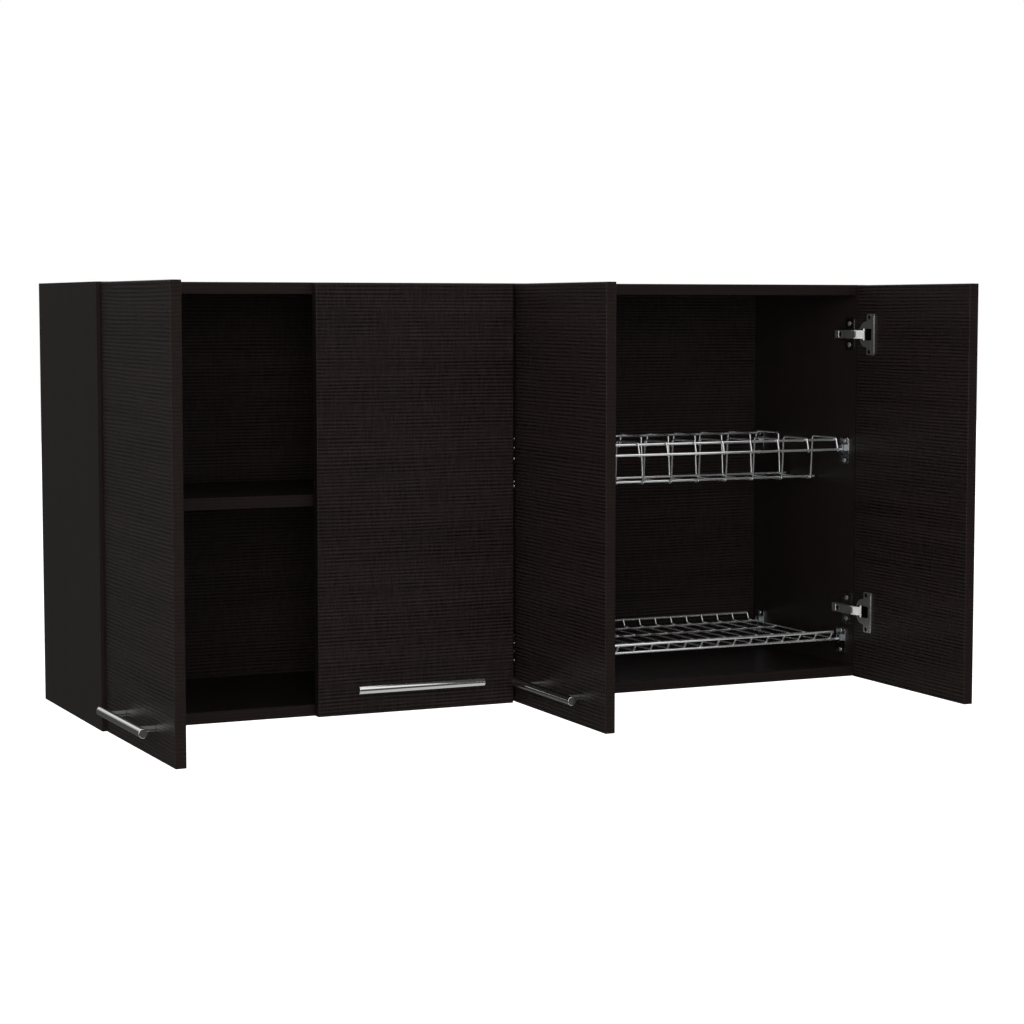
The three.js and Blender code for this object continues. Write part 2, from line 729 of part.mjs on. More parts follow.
// A grid wire of the cup rack: it lies on the lower wires and is bent up and outwards to the upper two
function gridWire(x) {
  const frontEnd = cupRackFront - cupRackRailInset + gridReach;
  const rearEnd = cupRackRear + cupRackRailInset - gridReach;
  const frontFold = cupRackFront + cupRackRailInset - wireBendRadius / 2;
  const rearFold = cupRackRear - cupRackRailInset + wireBendRadius / 2;
  const level = cupRackWireHeight + gridReach;
  const lip = cupRackWireHeight + cupRackRise;
  const corners = [[frontEnd, lip], [frontFold, level], [rearFold, level], [rearEnd, lip]];
  return bentWire(corners.map(([y, z]) => new THREE.Vector3(x, ...placed(y, z))), gridWireRadius);
}

function makeCupRack() {
  const first = rackLeft + gridLeftMargin;
  const last = rackRight - gridRightMargin;
  const grid = spaced(first, last, gridPitch).map(gridWire);
  const lip = cupRackWireHeight + cupRackRise;
  const inset = cupRackRailInset;
  const span = (cupRackRear - cupRackFront) / (cupRackRails + 1);
  const seats = [cupRackFront + inset, cupRackRear - inset];
  const rails = Array.from({ length: cupRackRails }, (_, k) => cupRackFront + span * (k + 1));
  const wires = [
    ...seats.map((y) => wireAcross(y, cupRackWireHeight, rackLeft, rackRight, frameWireRadius)),
    ...rails.map((y) => wireAcross(y, cupRackWireHeight, first, last, frameWireRadius)),
    wireAcross(cupRackFront - inset, lip, first, last, frameWireRadius),
    wireAcross(cupRackRear + inset, lip, first, last, frameWireRadius),
  ];
  return joined(...wires, ...grid);
}

addPiece(cabinet, 'plate_rack', makePlateRack(), chromeWire);
addPiece(cabinet, 'cup_rack', makeCupRack(), chromeWire);

// A rack bracket: a plate screwed to the board, with a cradle open at the top; the origin is the wire's axis
function makeBracket() {
  const wall = prism('x', roundedOutline(-bracketHalfWidth, bracketHalfWidth, -bracketFoot, bracketTop,
    bracketCornerRadius), 0, bracketThickness);
  const slotRadius = frameWireRadius + cradleSlack;
  const outer = slotRadius + cradleWall;
  const cradleOutline = outline([[-outer, cradleTop], [-outer, -slotRadius], [-slotRadius, -outer],
    [slotRadius, -outer], [outer, -slotRadius], [outer, cradleTop]]);
  const cradle = prism('x', cradleOutline, bracketThickness / 2, bracketThickness + cradleReach);
  const slotStart = bracketThickness;
  const slotEnd = bracketThickness + cradleReach + overrun;
  const round = rod('x', slotRadius, [0, 0], slotStart, slotEnd, coarseSides);
  const open = block([slotStart, slotEnd], [-slotRadius, slotRadius], [0, cradleTop + overrun]);
  const holes = [bracketScrewRise, -bracketScrewDrop].map((z) =>
    rod('x', bracketScrewRadius, [0, z], -overrun, bracketThickness + overrun, coarseSides));
  return cut(joined(wall, cradle), joined(round, open), ...holes);
}

const bracketGeometry = makeBracket();
const racks = [
  ['plate_rack', plateRackWireHeight, [['front', plateRackFront], ['rear', plateRackRear]]],
  ['cup_rack', cupRackWireHeight,
    [['front', cupRackFront + cupRackRailInset], ['rear', cupRackRear - cupRackRailInset]]],
];

for (const [rack, wireHeight, places] of racks) {
  for (const [place, y] of places) {
    for (const [hand, face, side] of [['left', dividerRight, 1], ['right', innerRight, -1]]) {
      const carried = groupAt(face, front + y, bottom + wireHeight, side, 0);
      addPiece(carried, `${rack}_${place}_${hand}_bracket`, bracketGeometry, zincPlate);
    }
  }
}

export default cabinet;
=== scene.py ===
# %% [markdown]
# # A kitchen wall cabinet, dressed for a studio picture
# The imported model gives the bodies, their joints and plain solids. This lesson adds what the eye looks for:
# grain on the boards, round wires, pressed hinge parts, screws and polished metal. Everything is in metres.

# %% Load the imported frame
import json
import math

import bmesh
import bpy
from mathutils import Matrix, Vector

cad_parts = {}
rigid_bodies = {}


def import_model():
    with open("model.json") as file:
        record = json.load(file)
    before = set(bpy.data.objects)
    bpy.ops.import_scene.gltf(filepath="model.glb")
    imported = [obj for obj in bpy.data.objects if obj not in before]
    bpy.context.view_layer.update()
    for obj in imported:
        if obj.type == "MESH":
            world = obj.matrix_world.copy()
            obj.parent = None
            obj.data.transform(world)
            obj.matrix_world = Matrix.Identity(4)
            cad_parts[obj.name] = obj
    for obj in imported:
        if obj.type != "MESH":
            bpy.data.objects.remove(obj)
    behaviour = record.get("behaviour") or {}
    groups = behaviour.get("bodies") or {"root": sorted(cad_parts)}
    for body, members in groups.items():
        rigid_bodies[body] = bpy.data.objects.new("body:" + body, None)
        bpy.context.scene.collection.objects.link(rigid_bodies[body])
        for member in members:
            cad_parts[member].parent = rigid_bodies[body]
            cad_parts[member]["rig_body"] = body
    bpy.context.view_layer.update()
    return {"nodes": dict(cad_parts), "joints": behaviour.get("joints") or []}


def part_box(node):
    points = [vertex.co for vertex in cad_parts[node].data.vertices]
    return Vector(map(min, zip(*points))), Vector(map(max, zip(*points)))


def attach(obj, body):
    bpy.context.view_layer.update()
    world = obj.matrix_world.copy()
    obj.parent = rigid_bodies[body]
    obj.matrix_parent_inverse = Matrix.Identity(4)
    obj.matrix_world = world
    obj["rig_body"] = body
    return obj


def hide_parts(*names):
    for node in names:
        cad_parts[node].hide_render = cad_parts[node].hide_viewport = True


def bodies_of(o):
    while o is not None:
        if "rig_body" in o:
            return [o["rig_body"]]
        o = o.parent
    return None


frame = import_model()
MM = 0.001

# %% [markdown]
# ## The camera
# The picture was taken with a short telephoto lens from the left, a little above the middle of the cabinet.
# A camera on a tripod is described by its place, two angles and its lens, so only these are set.

# %% Camera
def add_object(name, data):
    """An object of the scene that shows a mesh, a lamp or a camera."""
    added = bpy.data.objects.new(name, data)
    bpy.context.scene.collection.objects.link(added)
    return added


SENSOR_WIDTH_MM = 36
LENS_MM = 85.98
CAMERA_PLACE = (-1.4689, -3.4708, 0.2657)
CAMERA_TURN = math.radians(-24.962)
CAMERA_TILT = math.radians(85.22)
camera_data = bpy.data.cameras.new("studio_camera")
camera_data.sensor_width = SENSOR_WIDTH_MM
camera_data.lens = LENS_MM
camera = add_object("studio_camera", camera_data)
camera.location = CAMERA_PLACE
camera.rotation_euler = (CAMERA_TILT, 0, CAMERA_TURN)
bpy.context.scene.camera = camera
bpy.context.scene.view_settings.view_transform = "Standard"
print("camera at", tuple(camera.location))

# %% [markdown]
# ## Studio
# Lamps give the light and the room gives the reflections, and each is set on its own. The room is dark grey,
# with a white backdrop behind the cabinet, a bright ceiling, a broad window on the left, a lamp beside the
# camera and a pale floor. Polished metal needs such a room: it shows the bright parts as streaks and the grey
# walls as dark ones, where an all white room would leave it flat. To the camera the surroundings are white on
# every side. Soft light comes evenly from all round, and a large lamp beside the camera reaches into the
# compartments wherever the camera sees into them.
#
# Colours are written as sRGB hex values, and one helper turns them to the linear ones in which Blender adds
# light. A second helper adds a node with its settings and links, so that a material reads as a short list.

# %% Colour and node helpers
def linear(hex_code):
    """An sRGB hex colour as linear red, green, blue and alpha."""
    values = [int(hex_code[i:i + 2], 16) / 255 for i in (1, 3, 5)]
    return [v / 12.92 if v <= 0.04045 else ((v + 0.055) / 1.055) ** 2.4 for v in values] + [1]


def add_node(tree, kind, links=(), **settings):
    """Adds a node. A setting names a socket or a property; a link is (input, source socket)."""
    node = tree.nodes.new(kind)
    for name, value in settings.items():
        socket = node.inputs.get(name.replace("_", " ")) or node.inputs.get(name)
        if socket is None:
            setattr(node, name, value)
        else:
            socket.default_value = value
    for name, source in links:
        tree.links.new(node.inputs[name], source)
    return node


print("near black in linear:", [round(v, 4) for v in linear("#1b1716")[:3]])

# %% Surroundings
ROOM_GREY = 0.08
FILL_STRENGTH = 0.5
WHITE = "#ffffff"
# For each bright part of the room: its direction, the cosines at which it starts and is full, its strength.
ROOM_LIGHTS = {
    "backdrop": ((0.42, 0.9, -0.08), 0.955, 0.985, 1.0),
    "ceiling": ((0, 0, 1), 0.1, 0.4, 1.4),
    "window": ((-0.9, -0.42, 0.1), 0.8, 0.92, 0.9),
    "lamp beside the camera": ((-0.37, -0.92, 0.12), 0.95, 0.98, 2.0),
    "floor": ((0, 0, -1), 0.42, 0.56, 0.75),
}
world = bpy.data.worlds.new("studio")
bpy.context.scene.world = world
world.use_nodes = True
sky = world.node_tree
sky.nodes.clear()
rays = add_node(sky, "ShaderNodeLightPath").outputs
mirrored = add_node(sky, "ShaderNodeMath", [(0, rays["Is Glossy Ray"]), (1, rays["Is Transmission Ray"])],
                    operation="MAXIMUM").outputs[0]
towards = add_node(sky, "ShaderNodeTexCoord").outputs["Generated"]
room_strength = add_node(sky, "ShaderNodeValue").outputs[0]
room_strength.default_value = ROOM_GREY
for part, (direction, start, full, strength) in ROOM_LIGHTS.items():
    facing = add_node(sky, "ShaderNodeVectorMath", [(0, towards)], operation="DOT_PRODUCT")
    facing.inputs[1].default_value = Vector(direction).normalized()
    glow = add_node(sky, "ShaderNodeMapRange", [("Value", facing.outputs["Value"])], From_Min=start,
                    From_Max=full, To_Max=strength)
    room_strength = add_node(sky, "ShaderNodeMath", [(0, room_strength), (1, glow.outputs[0])],
                             operation="MAXIMUM").outputs[0]
fill = add_node(sky, "ShaderNodeBackground", Color=linear(WHITE), Strength=FILL_STRENGTH)
room = add_node(sky, "ShaderNodeBackground", [("Strength", room_strength)], Color=linear(WHITE))
white = add_node(sky, "ShaderNodeBackground", Color=linear(WHITE), Strength=1.0)
mixed = add_node(sky, "ShaderNodeMixShader", [(0, mirrored), (1, fill.outputs[0]), (2, room.outputs[0])])
mixed = add_node(sky, "ShaderNodeMixShader", [(0, rays["Is Camera Ray"]), (1, mixed.outputs[0]),
                                              (2, white.outputs[0])])
add_node(sky, "ShaderNodeOutputWorld", [("Surface", mixed.outputs[0])])
print("bright parts of the room:", list(ROOM_LIGHTS))

# %% Soft boxes
def soft_box(name, location, aim, size, power):
    """A square area lamp at a place, turned towards a point."""
    lamp = bpy.data.lights.new(name, "AREA")
    lamp.size = size
    lamp.energy = power
    lamp_object = add_object(name, lamp)
    lamp_object.location = location
    lamp_object.rotation_euler = (Vector(aim) - Vector(location)).to_track_quat("-Z", "Y").to_euler()
    lamp_object.visible_glossy = False


MIDDLE = (0, -0.2, 0)
# For each lamp: its place, the width of its square in metres, and its power in watts.
SOFT_BOXES = {
    "left_soft_box": ((-3.0, -2.3, 1.0), 1.4, 33),
    "top_soft_box": ((0.0, -0.6, 3.0), 2.4, 8),
    "camera_soft_box": ((-1.55, -3.8, 0.5), 1.6, 80),
}
for name, (location, size, power) in SOFT_BOXES.items():
    soft_box(name, location, MIDDLE, size, power)
print("lamps:", len(SOFT_BOXES))

# %% [markdown]
# The floor lies well below the hanging cabinet. It is white to the camera, and its own soft shading is kept,
# so that a shadow would show on it. Metal sees the pale floor of the room instead. One square face is enough.

# %% Floor
FLOOR_LEVEL = -1.6
FLOOR_HALF_WIDTH = 30
FLOOR_PAINT = linear("#f4f4f4")
floor_mesh = bpy.data.meshes.new("floor")
bm = bmesh.new()
bmesh.ops.create_grid(bm, x_segments=1, y_segments=1, size=FLOOR_HALF_WIDTH,
                      matrix=Matrix.Translation((0, 0, FLOOR_LEVEL)))
bm.to_mesh(floor_mesh)
bm.free()
floor = add_object("floor", floor_mesh)
paint = bpy.data.materials.new("floor_matt_paint")
paint.use_nodes = True
tree = paint.node_tree
tree.nodes.clear()
path = add_node(tree, "ShaderNodeLightPath")
diffuse = add_node(tree, "ShaderNodeBsdfDiffuse", Color=FLOOR_PAINT)
glow = add_node(tree, "ShaderNodeEmission", [("Strength", path.outputs["Is Camera Ray"])], Color=FLOOR_PAINT)
both = add_node(tree, "ShaderNodeAddShader", [(0, diffuse.outputs[0]), (1, glow.outputs[0])])
add_node(tree, "ShaderNodeOutputMaterial", [("Surface", both.outputs[0])])
floor_mesh.materials.append(paint)
floor.visible_glossy = False
print("floor at", FLOOR_LEVEL, "m")

# %% [markdown]
# ## Dark laminate on board
# The boards are chipboard with a printed and pressed melamine skin, the colour of wenge. Thin dark lines run
# along the grain about five millimetres apart. They wander a little and come and go, over slow bands and with
# short ticks across them. The grain runs across the doors, the back, the shelf, the top and the bottom, and
# up the sides and the divider. The skin is satin, so a lamp shows on it only as a broad dim sheen.
#
# An image could colour the boards, but a pattern of nodes has no seams, and its sizes are set in millimetres.
# A wave texture draws the lines and bends them, a stretched noise breaks them, and the same pattern drives a
# shallow bump.

# %% Grain sizes
LINE_PITCH = 5.0 * MM
LINE_WANDER = 3.4
LINE_LENGTH = 45.0 * MM
BREAK_WIDTH = 10.0 * MM
BAND_WIDTH = 24 * MM
BAND_LENGTH = 400 * MM
TICK_WIDTH = 2.4 * MM
TICK_LENGTH = 18 * MM
PRESS_DEPTH = 0.1 * MM
# At a scale of 1 a wave texture has 20 / tau waves to a unit, and at this scale it has one.
ONE_WAVE_SCALE = math.tau / 20
# The pattern values that count as 0 and as 1, for the lines, their breaks, the bands and the ticks.
LINE_RANGE = {"From_Min": 0.1, "From_Max": 0.9}
BREAK_RANGE = {"From_Min": 0.3, "From_Max": 0.55}
BAND_RANGE = {"From_Min": 0.3, "From_Max": 0.7}
TICK_RANGE = {"From_Min": 0.35, "From_Max": 0.7}
BAND_SHARE = 0.2
TICK_SHARE = 0.2
MIDDLE_TONE = 0.5
SKIN_ROUGHNESS = 0.3
ROUGHNESS_SPREAD = 0.08
SKIN_SPECULAR = 0.12
print("grain lines every", LINE_PITCH / MM, "mm")

# %% Pattern helpers
# A mix node has sockets of several kinds under the same names, so those for colours are found by number.
COLOUR_A = 6
COLOUR_B = 7
COLOUR_RESULT = 2


def new_material(name):
    """A material, its node tree, its principled shader and the place of a point on the object."""
    material = bpy.data.materials.new(name)
    material.use_nodes = True
    tree = material.node_tree
    place = add_node(tree, "ShaderNodeTexCoord").outputs["Object"]
    return material, tree, tree.nodes["Principled BSDF"], place


def pattern_scale(across, along, grain):
    """How many of a pattern's cells a metre holds: many across the grain and few along it."""
    scale = [1 / across] * 3
    scale["xyz".index(grain)] = 1 / along
    return scale


def stretched_noise(tree, place, across, along, grain, detail=2):
    """Noise whose cells have one size across the grain and another along it."""
    cells = add_node(tree, "ShaderNodeMapping", [("Vector", place)],
                     Scale=pattern_scale(across, along, grain))
    noise = add_node(tree, "ShaderNodeTexNoise", [("Vector", cells.outputs[0])], Scale=1.0, Detail=detail)
    return noise.outputs["Fac"]


print("noise cells to the metre:", pattern_scale(BAND_WIDTH, BAND_LENGTH, "x"))

# %% Laminate materials
def laminate(name, grain, across, dark, light, contrast=1.0, roughness=SKIN_ROUGHNESS):
    """Melamine-faced board with pressed grain along one axis and its lines side by side along another."""
    material, tree, shader, place = new_material(name)
    line_cells = add_node(tree, "ShaderNodeMapping", [("Vector", place)],
                          Scale=pattern_scale(LINE_PITCH, LINE_LENGTH, grain))
    wave = add_node(tree, "ShaderNodeTexWave", [("Vector", line_cells.outputs[0])], wave_type="BANDS",
                    bands_direction=across.upper(), Scale=ONE_WAVE_SCALE, Distortion=LINE_WANDER, Detail=2.0,
                    Detail_Scale=0.6, Detail_Roughness=0.5)
    lines = add_node(tree, "ShaderNodeMapRange", [("Value", wave.outputs["Fac"])], **LINE_RANGE)
    breaks = stretched_noise(tree, place, BREAK_WIDTH, LINE_LENGTH, grain)
    shown = add_node(tree, "ShaderNodeMapRange", [("Value", breaks)], **BREAK_RANGE)
    slow = stretched_noise(tree, place, BAND_WIDTH, BAND_LENGTH, grain)
    bands = add_node(tree, "ShaderNodeMapRange", [("Value", slow)], **BAND_RANGE)
    short = stretched_noise(tree, place, TICK_WIDTH, TICK_LENGTH, across, detail=1)
    ticks = add_node(tree, "ShaderNodeMapRange", [("Value", short)], **TICK_RANGE)
    faint = add_node(tree, "ShaderNodeMix", [("Factor", shown.outputs[0]), ("B", lines.outputs[0])],
                     A=MIDDLE_TONE)
    banded = add_node(tree, "ShaderNodeMix", [("A", faint.outputs[0]), ("B", bands.outputs[0])],
                      Factor=BAND_SHARE)
    ticked = add_node(tree, "ShaderNodeMix", [("A", banded.outputs[0]), ("B", ticks.outputs[0])],
                      Factor=TICK_SHARE)
    toned = add_node(tree, "ShaderNodeMix", [("B", ticked.outputs[0])], A=MIDDLE_TONE, Factor=contrast)
    level = toned.outputs[0]
    colour = add_node(tree, "ShaderNodeMix", [(0, level)], data_type="RGBA")
    colour.inputs[COLOUR_A].default_value = linear(dark)
    colour.inputs[COLOUR_B].default_value = linear(light)
    tree.links.new(shader.inputs["Base Color"], colour.outputs[COLOUR_RESULT])
    rough = add_node(tree, "ShaderNodeMapRange", [("Value", level)], To_Min=roughness + ROUGHNESS_SPREAD,
                     To_Max=roughness)
    tree.links.new(shader.inputs["Roughness"], rough.outputs[0])
    bump = add_node(tree, "ShaderNodeBump", [("Height", level)], Distance=PRESS_DEPTH, Strength=1.0)
    tree.links.new(shader.inputs["Normal"], bump.outputs[0])
    shader.inputs["Specular IOR Level"].default_value = SKIN_SPECULAR
    return material


DARK_GRAIN = "#030202"
LIGHT_GRAIN = "#282220"
UPRIGHT_CONTRAST = 0.45
grain_across = laminate("wenge_laminate_grain_x", "x", "z", DARK_GRAIN, LIGHT_GRAIN)
grain_flat = laminate("wenge_laminate_grain_x_flat", "x", "y", DARK_GRAIN, LIGHT_GRAIN)
grain_back = laminate("wenge_laminate_grain_y", "y", "z", DARK_GRAIN, LIGHT_GRAIN)
grain_up = laminate("wenge_laminate_grain_z", "z", "y", DARK_GRAIN, LIGHT_GRAIN, UPRIGHT_CONTRAST)
print("laminates:", [skin.name for skin in (grain_across, grain_flat, grain_back, grain_up)])

# %% [markdown]
# The edges of a laminated board are covered with a thin tape of plastic, glued on hot and trimmed flush. It
# is printed with the same wood and pressed less deeply, so its lines are fainter, and it shines a little
# less. The same helper makes it, with other colours, less contrast and more roughness.

# %% Edge tape materials
TAPE_DARK = "#0c0807"
TAPE_LIGHT = "#1f1816"
TAPE_CONTRAST = 0.6
TAPE_ROUGHNESS = 0.42
tape_across = laminate("edge_tape_grain_x", "x", "z", TAPE_DARK, TAPE_LIGHT, TAPE_CONTRAST, TAPE_ROUGHNESS)
tape_back = laminate("edge_tape_grain_y", "y", "z", TAPE_DARK, TAPE_LIGHT, TAPE_CONTRAST, TAPE_ROUGHNESS)
tape_up = laminate("edge_tape_grain_z", "z", "x", TAPE_DARK, TAPE_LIGHT, TAPE_CONTRAST, TAPE_ROUGHNESS)
print("edge tapes:", [tape.name for tape in (tape_across, tape_back, tape_up)])

# %% [markdown]
# ## Metals
# Handles are steel bar with a satin nickel finish, brushed along the bar. Hinges are pressed steel with dull
# nickel, and the racks are drawn wire that was welded and then chromium plated. A metal is told from its
# gloss: chromium mirrors sharply, fine brushed satin nearly so but with streaks, and dull nickel softly. A
# plating over a fine dull grain scatters some light as well, and a metallic value below 1 stands for that.
# Roughness varies a little from place to place, as use and polishing leave it.

# %% Metal materials
WEAR = 0.06
WEAR_SPOT = 6 * MM
BRUSHED = {"wear": 0.08, "spot": 0.5 * MM, "spot_length": 20 * MM}
DARKER_SHADE = 0.86


def metal(name, colour, roughness, metallic=1.0, wear=WEAR, spot=WEAR_SPOT, spot_length=WEAR_SPOT, grain="x"):
    """Plated metal whose roughness and shade vary a little in spots or, if these are long, in brush lines."""
    material, tree, shader, place = new_material(name)
    noise = stretched_noise(tree, place, spot, spot_length, grain, detail=3)
    rough = add_node(tree, "ShaderNodeMapRange", [("Value", noise)], To_Min=roughness - wear / 2,
                     To_Max=roughness + wear / 2)
    tree.links.new(shader.inputs["Roughness"], rough.outputs[0])
    shade = add_node(tree, "ShaderNodeMix", [(0, noise)], data_type="RGBA")
    shade.inputs[COLOUR_A].default_value = [v * DARKER_SHADE for v in linear(colour)[:3]] + [1]
    shade.inputs[COLOUR_B].default_value = linear(colour)
    tree.links.new(shader.inputs["Base Color"], shade.outputs[COLOUR_RESULT])
    shader.inputs["Metallic"].default_value = metallic
    return material


# Satin nickel is brushed along the bar: a long clean highlight that is finely streaked. The brush lines are
# drawn coarser than real ones, which are too fine to show.
satin_x = metal("satin_nickel_bar_x", "#d2d2d0", 0.13, grain="x", **BRUSHED)
satin_y = metal("satin_nickel_bar_y", "#d2d2d0", 0.13, grain="y", **BRUSHED)
# Dull nickel on pressed steel: grey with a soft sheen. The plates get a smoother copy painted darker, as
# shade.
nickel = metal("dull_nickel_pressed_steel", "#aeada9", 0.32, metallic=0.88)
plate_nickel_painted_shade = metal("smooth_nickel_painted_darker", "#8a8987", 0.28)
# The link's nickel is painted nearly white, a painted highlight that shows from most sides.
link_nickel_painted_highlight = metal("nickel_link_painted_highlight", "#fafaf8", 0.3, metallic=0.25)
# Chromium on drawn wire: a sharp bright line on each wire with dark beside it.
chrome = metal("chromium_plated_wire", "#eeeff0", 0.12, metallic=0.85)
# Zinc: a cool, slightly blue grey, on stamped sheet and on screws.
zinc = metal("zinc_plated_steel", "#b8bbbd", 0.18)
# The screws' zinc also colours the cup's lip and the arm's rib, where it stands as a painted highlight.
screw_zinc_and_painted_glint = metal("zinc_plated_screws_and_painted_glints", "#d8d9da", 0.25, metallic=0.85)
# Burnished black screws stay dark from every side; the inside of a cup's bowl is painted dark as shade.
black_screw = metal("burnished_black_screws", "#2c2b2b", 0.4, metallic=0.9)
# Painted shade: the bowl is the cup's own nickel inside, coloured dark here for the shade in it.
bowl_painted_shade_steel = metal("cup_bowl_painted_shade", "#353433", 0.5, metallic=0.95)
print("materials so far:", len(bpy.data.materials))

# %% [markdown]
# ## From a mesh to a piece
# Every new piece goes through the same few steps: its faces are turned outwards, round walls are shaded
# smooth, real edges stay sharp, it is told which body it rides on, and the plain solid it stands for, if
# there is one, is hidden. Its place is in its mesh, so the object itself stays at the origin.

# %% Piece helpers
WELD = 0.002 * MM
SHARP_TURN = math.radians(32)
EDGE_TURN = math.radians(28)
FLAT_TURN = math.radians(0.5)
ROUND_SEGMENTS = 2
SECOND_MATERIAL = 1
THIRD_MATERIAL = 2


def make_piece(name, bm, materials, body, slot, *replaced):
    """Writes a bmesh to an object that rides on a body and stands for the solids it replaces."""
    bmesh.ops.recalc_face_normals(bm, faces=bm.faces)
    for face in bm.faces:
        face.smooth = True
    for edge in bm.edges:
        edge.smooth = edge.smooth and edge.is_manifold and edge.calc_face_angle() < SHARP_TURN
    mesh = bpy.data.meshes.new(name)
    bm.to_mesh(mesh)
    bm.free()
    for material in materials:
        mesh.materials.append(material)
    piece = add_object(name, mesh)
    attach(piece, body)
    if replaced:
        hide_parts(*replaced)


def whole_copy(node):
    """A solid's mesh with its loose triangles merged and its flat faces made whole."""
    bm = bmesh.new()
    bm.from_mesh(frame["nodes"][node].data)
    bmesh.ops.remove_doubles(bm, verts=bm.verts, dist=WELD)
    bmesh.ops.dissolve_limit(bm, angle_limit=FLAT_TURN, use_dissolve_boundaries=False, verts=bm.verts,
                             edges=bm.edges)
    return bm


def bevel_edges(bm, edges, radius, segments):
    """Bevels edges, and keeps the shading of the flats beside them from bending into the bevel."""
    faces = set(bmesh.ops.bevel(bm, geom=edges, offset=radius, segments=segments, profile=0.5, affect="EDGES",
                                clamp_overlap=True, material=-1)["faces"])
    for face in faces:
        for edge in face.edges:
            if not faces.issuperset(edge.link_faces):
                edge.smooth = False


def round_edges(bm, radius):
    """Rounds every edge at which the surface turns sharply."""
    sharp = [edge for edge in bm.edges if edge.is_manifold and edge.calc_face_angle() > EDGE_TURN]
    bevel_edges(bm, sharp, radius, ROUND_SEGMENTS)


def mark_new(bm, before, index):
    """Gives the faces that aren't in an earlier set another material."""
    for face in set(bm.faces) - before:
        face.material_index = index


def body_of(node):
    """The name of the body that a solid rides on."""
    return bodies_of(frame["nodes"][node])[0]


print("door_1 rides on", body_of("door_1"))

# %% [markdown]
# ## Boards with soft edges
# A real board has no knife edge: the tape is scraped to a radius of under half a millimetre, which catches
# a thin line of light. Each board could be drawn as a box, but the solids already have the right size and
# their bores and rebates. So each is copied, its flats are made whole, and a bevel rounds the edges. The two
# broad faces get laminate, and the narrow ones get edge tape.

# %% Boards
TAPE_ROUNDING = 0.35 * MM
BROAD_FACE_COSINE = 0.7
BOARDS = {
    "left_side_panel": (grain_up, tape_up),
    "right_side_panel": (grain_up, tape_up),
    "centre_divider": (grain_up, tape_up),
    "top_panel": (grain_flat, tape_across),
    "bottom_panel": (grain_flat, tape_across),
    "shelf": (grain_flat, tape_across),
    "back_panel": (grain_across, tape_across),
    "door_1": (grain_back, tape_back),
    "door_2": (grain_across, tape_across),
    "door_3": (grain_back, tape_back),
    "door_4": (grain_back, tape_back),
}


def make_board(node, materials):
    """A board copied from its solid, with soft edges and its narrow faces marked as edge tape."""
    bm = whole_copy(node)
    broad = max(bm.faces, key=lambda face: face.calc_area()).normal.copy()
    round_edges(bm, TAPE_ROUNDING)
    for face in bm.faces:
        is_broad = abs(face.normal.dot(broad)) > BROAD_FACE_COSINE
        face.material_index = 0 if is_broad else SECOND_MATERIAL
    slot = "back_board" if node == "back_panel" else "dark_wood_board"
    make_piece(f"{node}_laminated", bm, materials, body_of(node), slot, node)


for node, materials in BOARDS.items():
    make_board(node, materials)
print("boards with grain:", len(BOARDS))

# %% [markdown]
# ## Where the doors and hinges are
# Each door turns on one upright line, and the frame says where it is. Pieces on a door are drawn as if it
# were shut and hinged on its left. For a door hinged on its right they are mirrored, and then they are turned
# to where the door stands. One drawing serves all four doors in this way.

# %% Places
# How far each door stands open, in degrees, and to which side of its hinges its free edge lies when shut.
DOOR_OPEN = {"door_1": 89.5, "door_2": 0, "door_3": 91, "door_4": 89}
DOOR_SIDE = {"door_1": 1, "door_2": -1, "door_3": 1, "door_4": -1}
HINGE_LEVEL = {"upper": 225 * MM, "lower": -196.5 * MM}
LEAF_INNER = 11 * MM
LEAF_OUTER = -4 * MM
SEAT_GAP = 0.3 * MM
pivots = {joint["child"]: Vector(joint["pos_m"]) for joint in frame["joints"] if joint["type"] == "hinge"}


def door_place(door):
    """From a shut door, drawn round its turning line, to where it stands."""
    turn = Matrix.Rotation(math.radians(-DOOR_SIDE[door] * DOOR_OPEN[door]), 4, "Z")
    return Matrix.Translation(pivots[door]) @ turn @ Matrix.Diagonal((DOOR_SIDE[door], 1, 1, 1))


for door in DOOR_OPEN:
    print(door, "turns at", [round(v, 4) for v in pivots[door]])

# %% [markdown]
# ## Round bar handles
# The bar is cut from drawn rod, its end edges are slightly rounded, and two short posts carry it. A curve
# with a round bevel could draw it, but its ends would stay sharp, so it is a cylinder whose two end edges are
# bevelled. It has many sides, because its gloss would show every flat of a coarser one.

# %% Handle sizes
HANDLE_NEAR = 50 * MM
HANDLE_FAR = 240 * MM
HANDLE_RADIUS = 6 * MM
HANDLE_HEIGHT = -261 * MM
HANDLE_STAND_OFF = 25 * MM
HANDLE_OVERHANG = 31 * MM
POST_RADIUS = 4 * MM
END_ROUNDING = 0.5 * MM
END_SEGMENTS = 3
BAR_SIDES = 48
POST_SIDES = 28
print("handle length:", round((HANDLE_FAR - HANDLE_NEAR) / MM), "mm")

# %% Rod helper
RIM_TURN = EDGE_TURN * 2
ALONG_X = Matrix.Rotation(math.radians(90), 4, "Y")
ALONG_Y = Matrix.Rotation(math.radians(90), 4, "X")


def add_rod(bm, centre, radius, length, turn, sides, rounding=0.0):
    """A round bar about a centre, with its end edges rounded."""
    rod = bmesh.ops.create_cone(bm, cap_ends=True, segments=sides, radius1=radius, radius2=radius,
                                depth=length, matrix=Matrix.Translation(centre) @ turn)
    if rounding:
        edges = {edge for vert in rod["verts"] for edge in vert.link_edges}
        rims = [edge for edge in edges if edge.calc_face_angle() > RIM_TURN]
        bevel_edges(bm, rims, rounding, END_SEGMENTS)


print("edges that turn more than", round(math.degrees(RIM_TURN)), "degrees are a rod's rims")

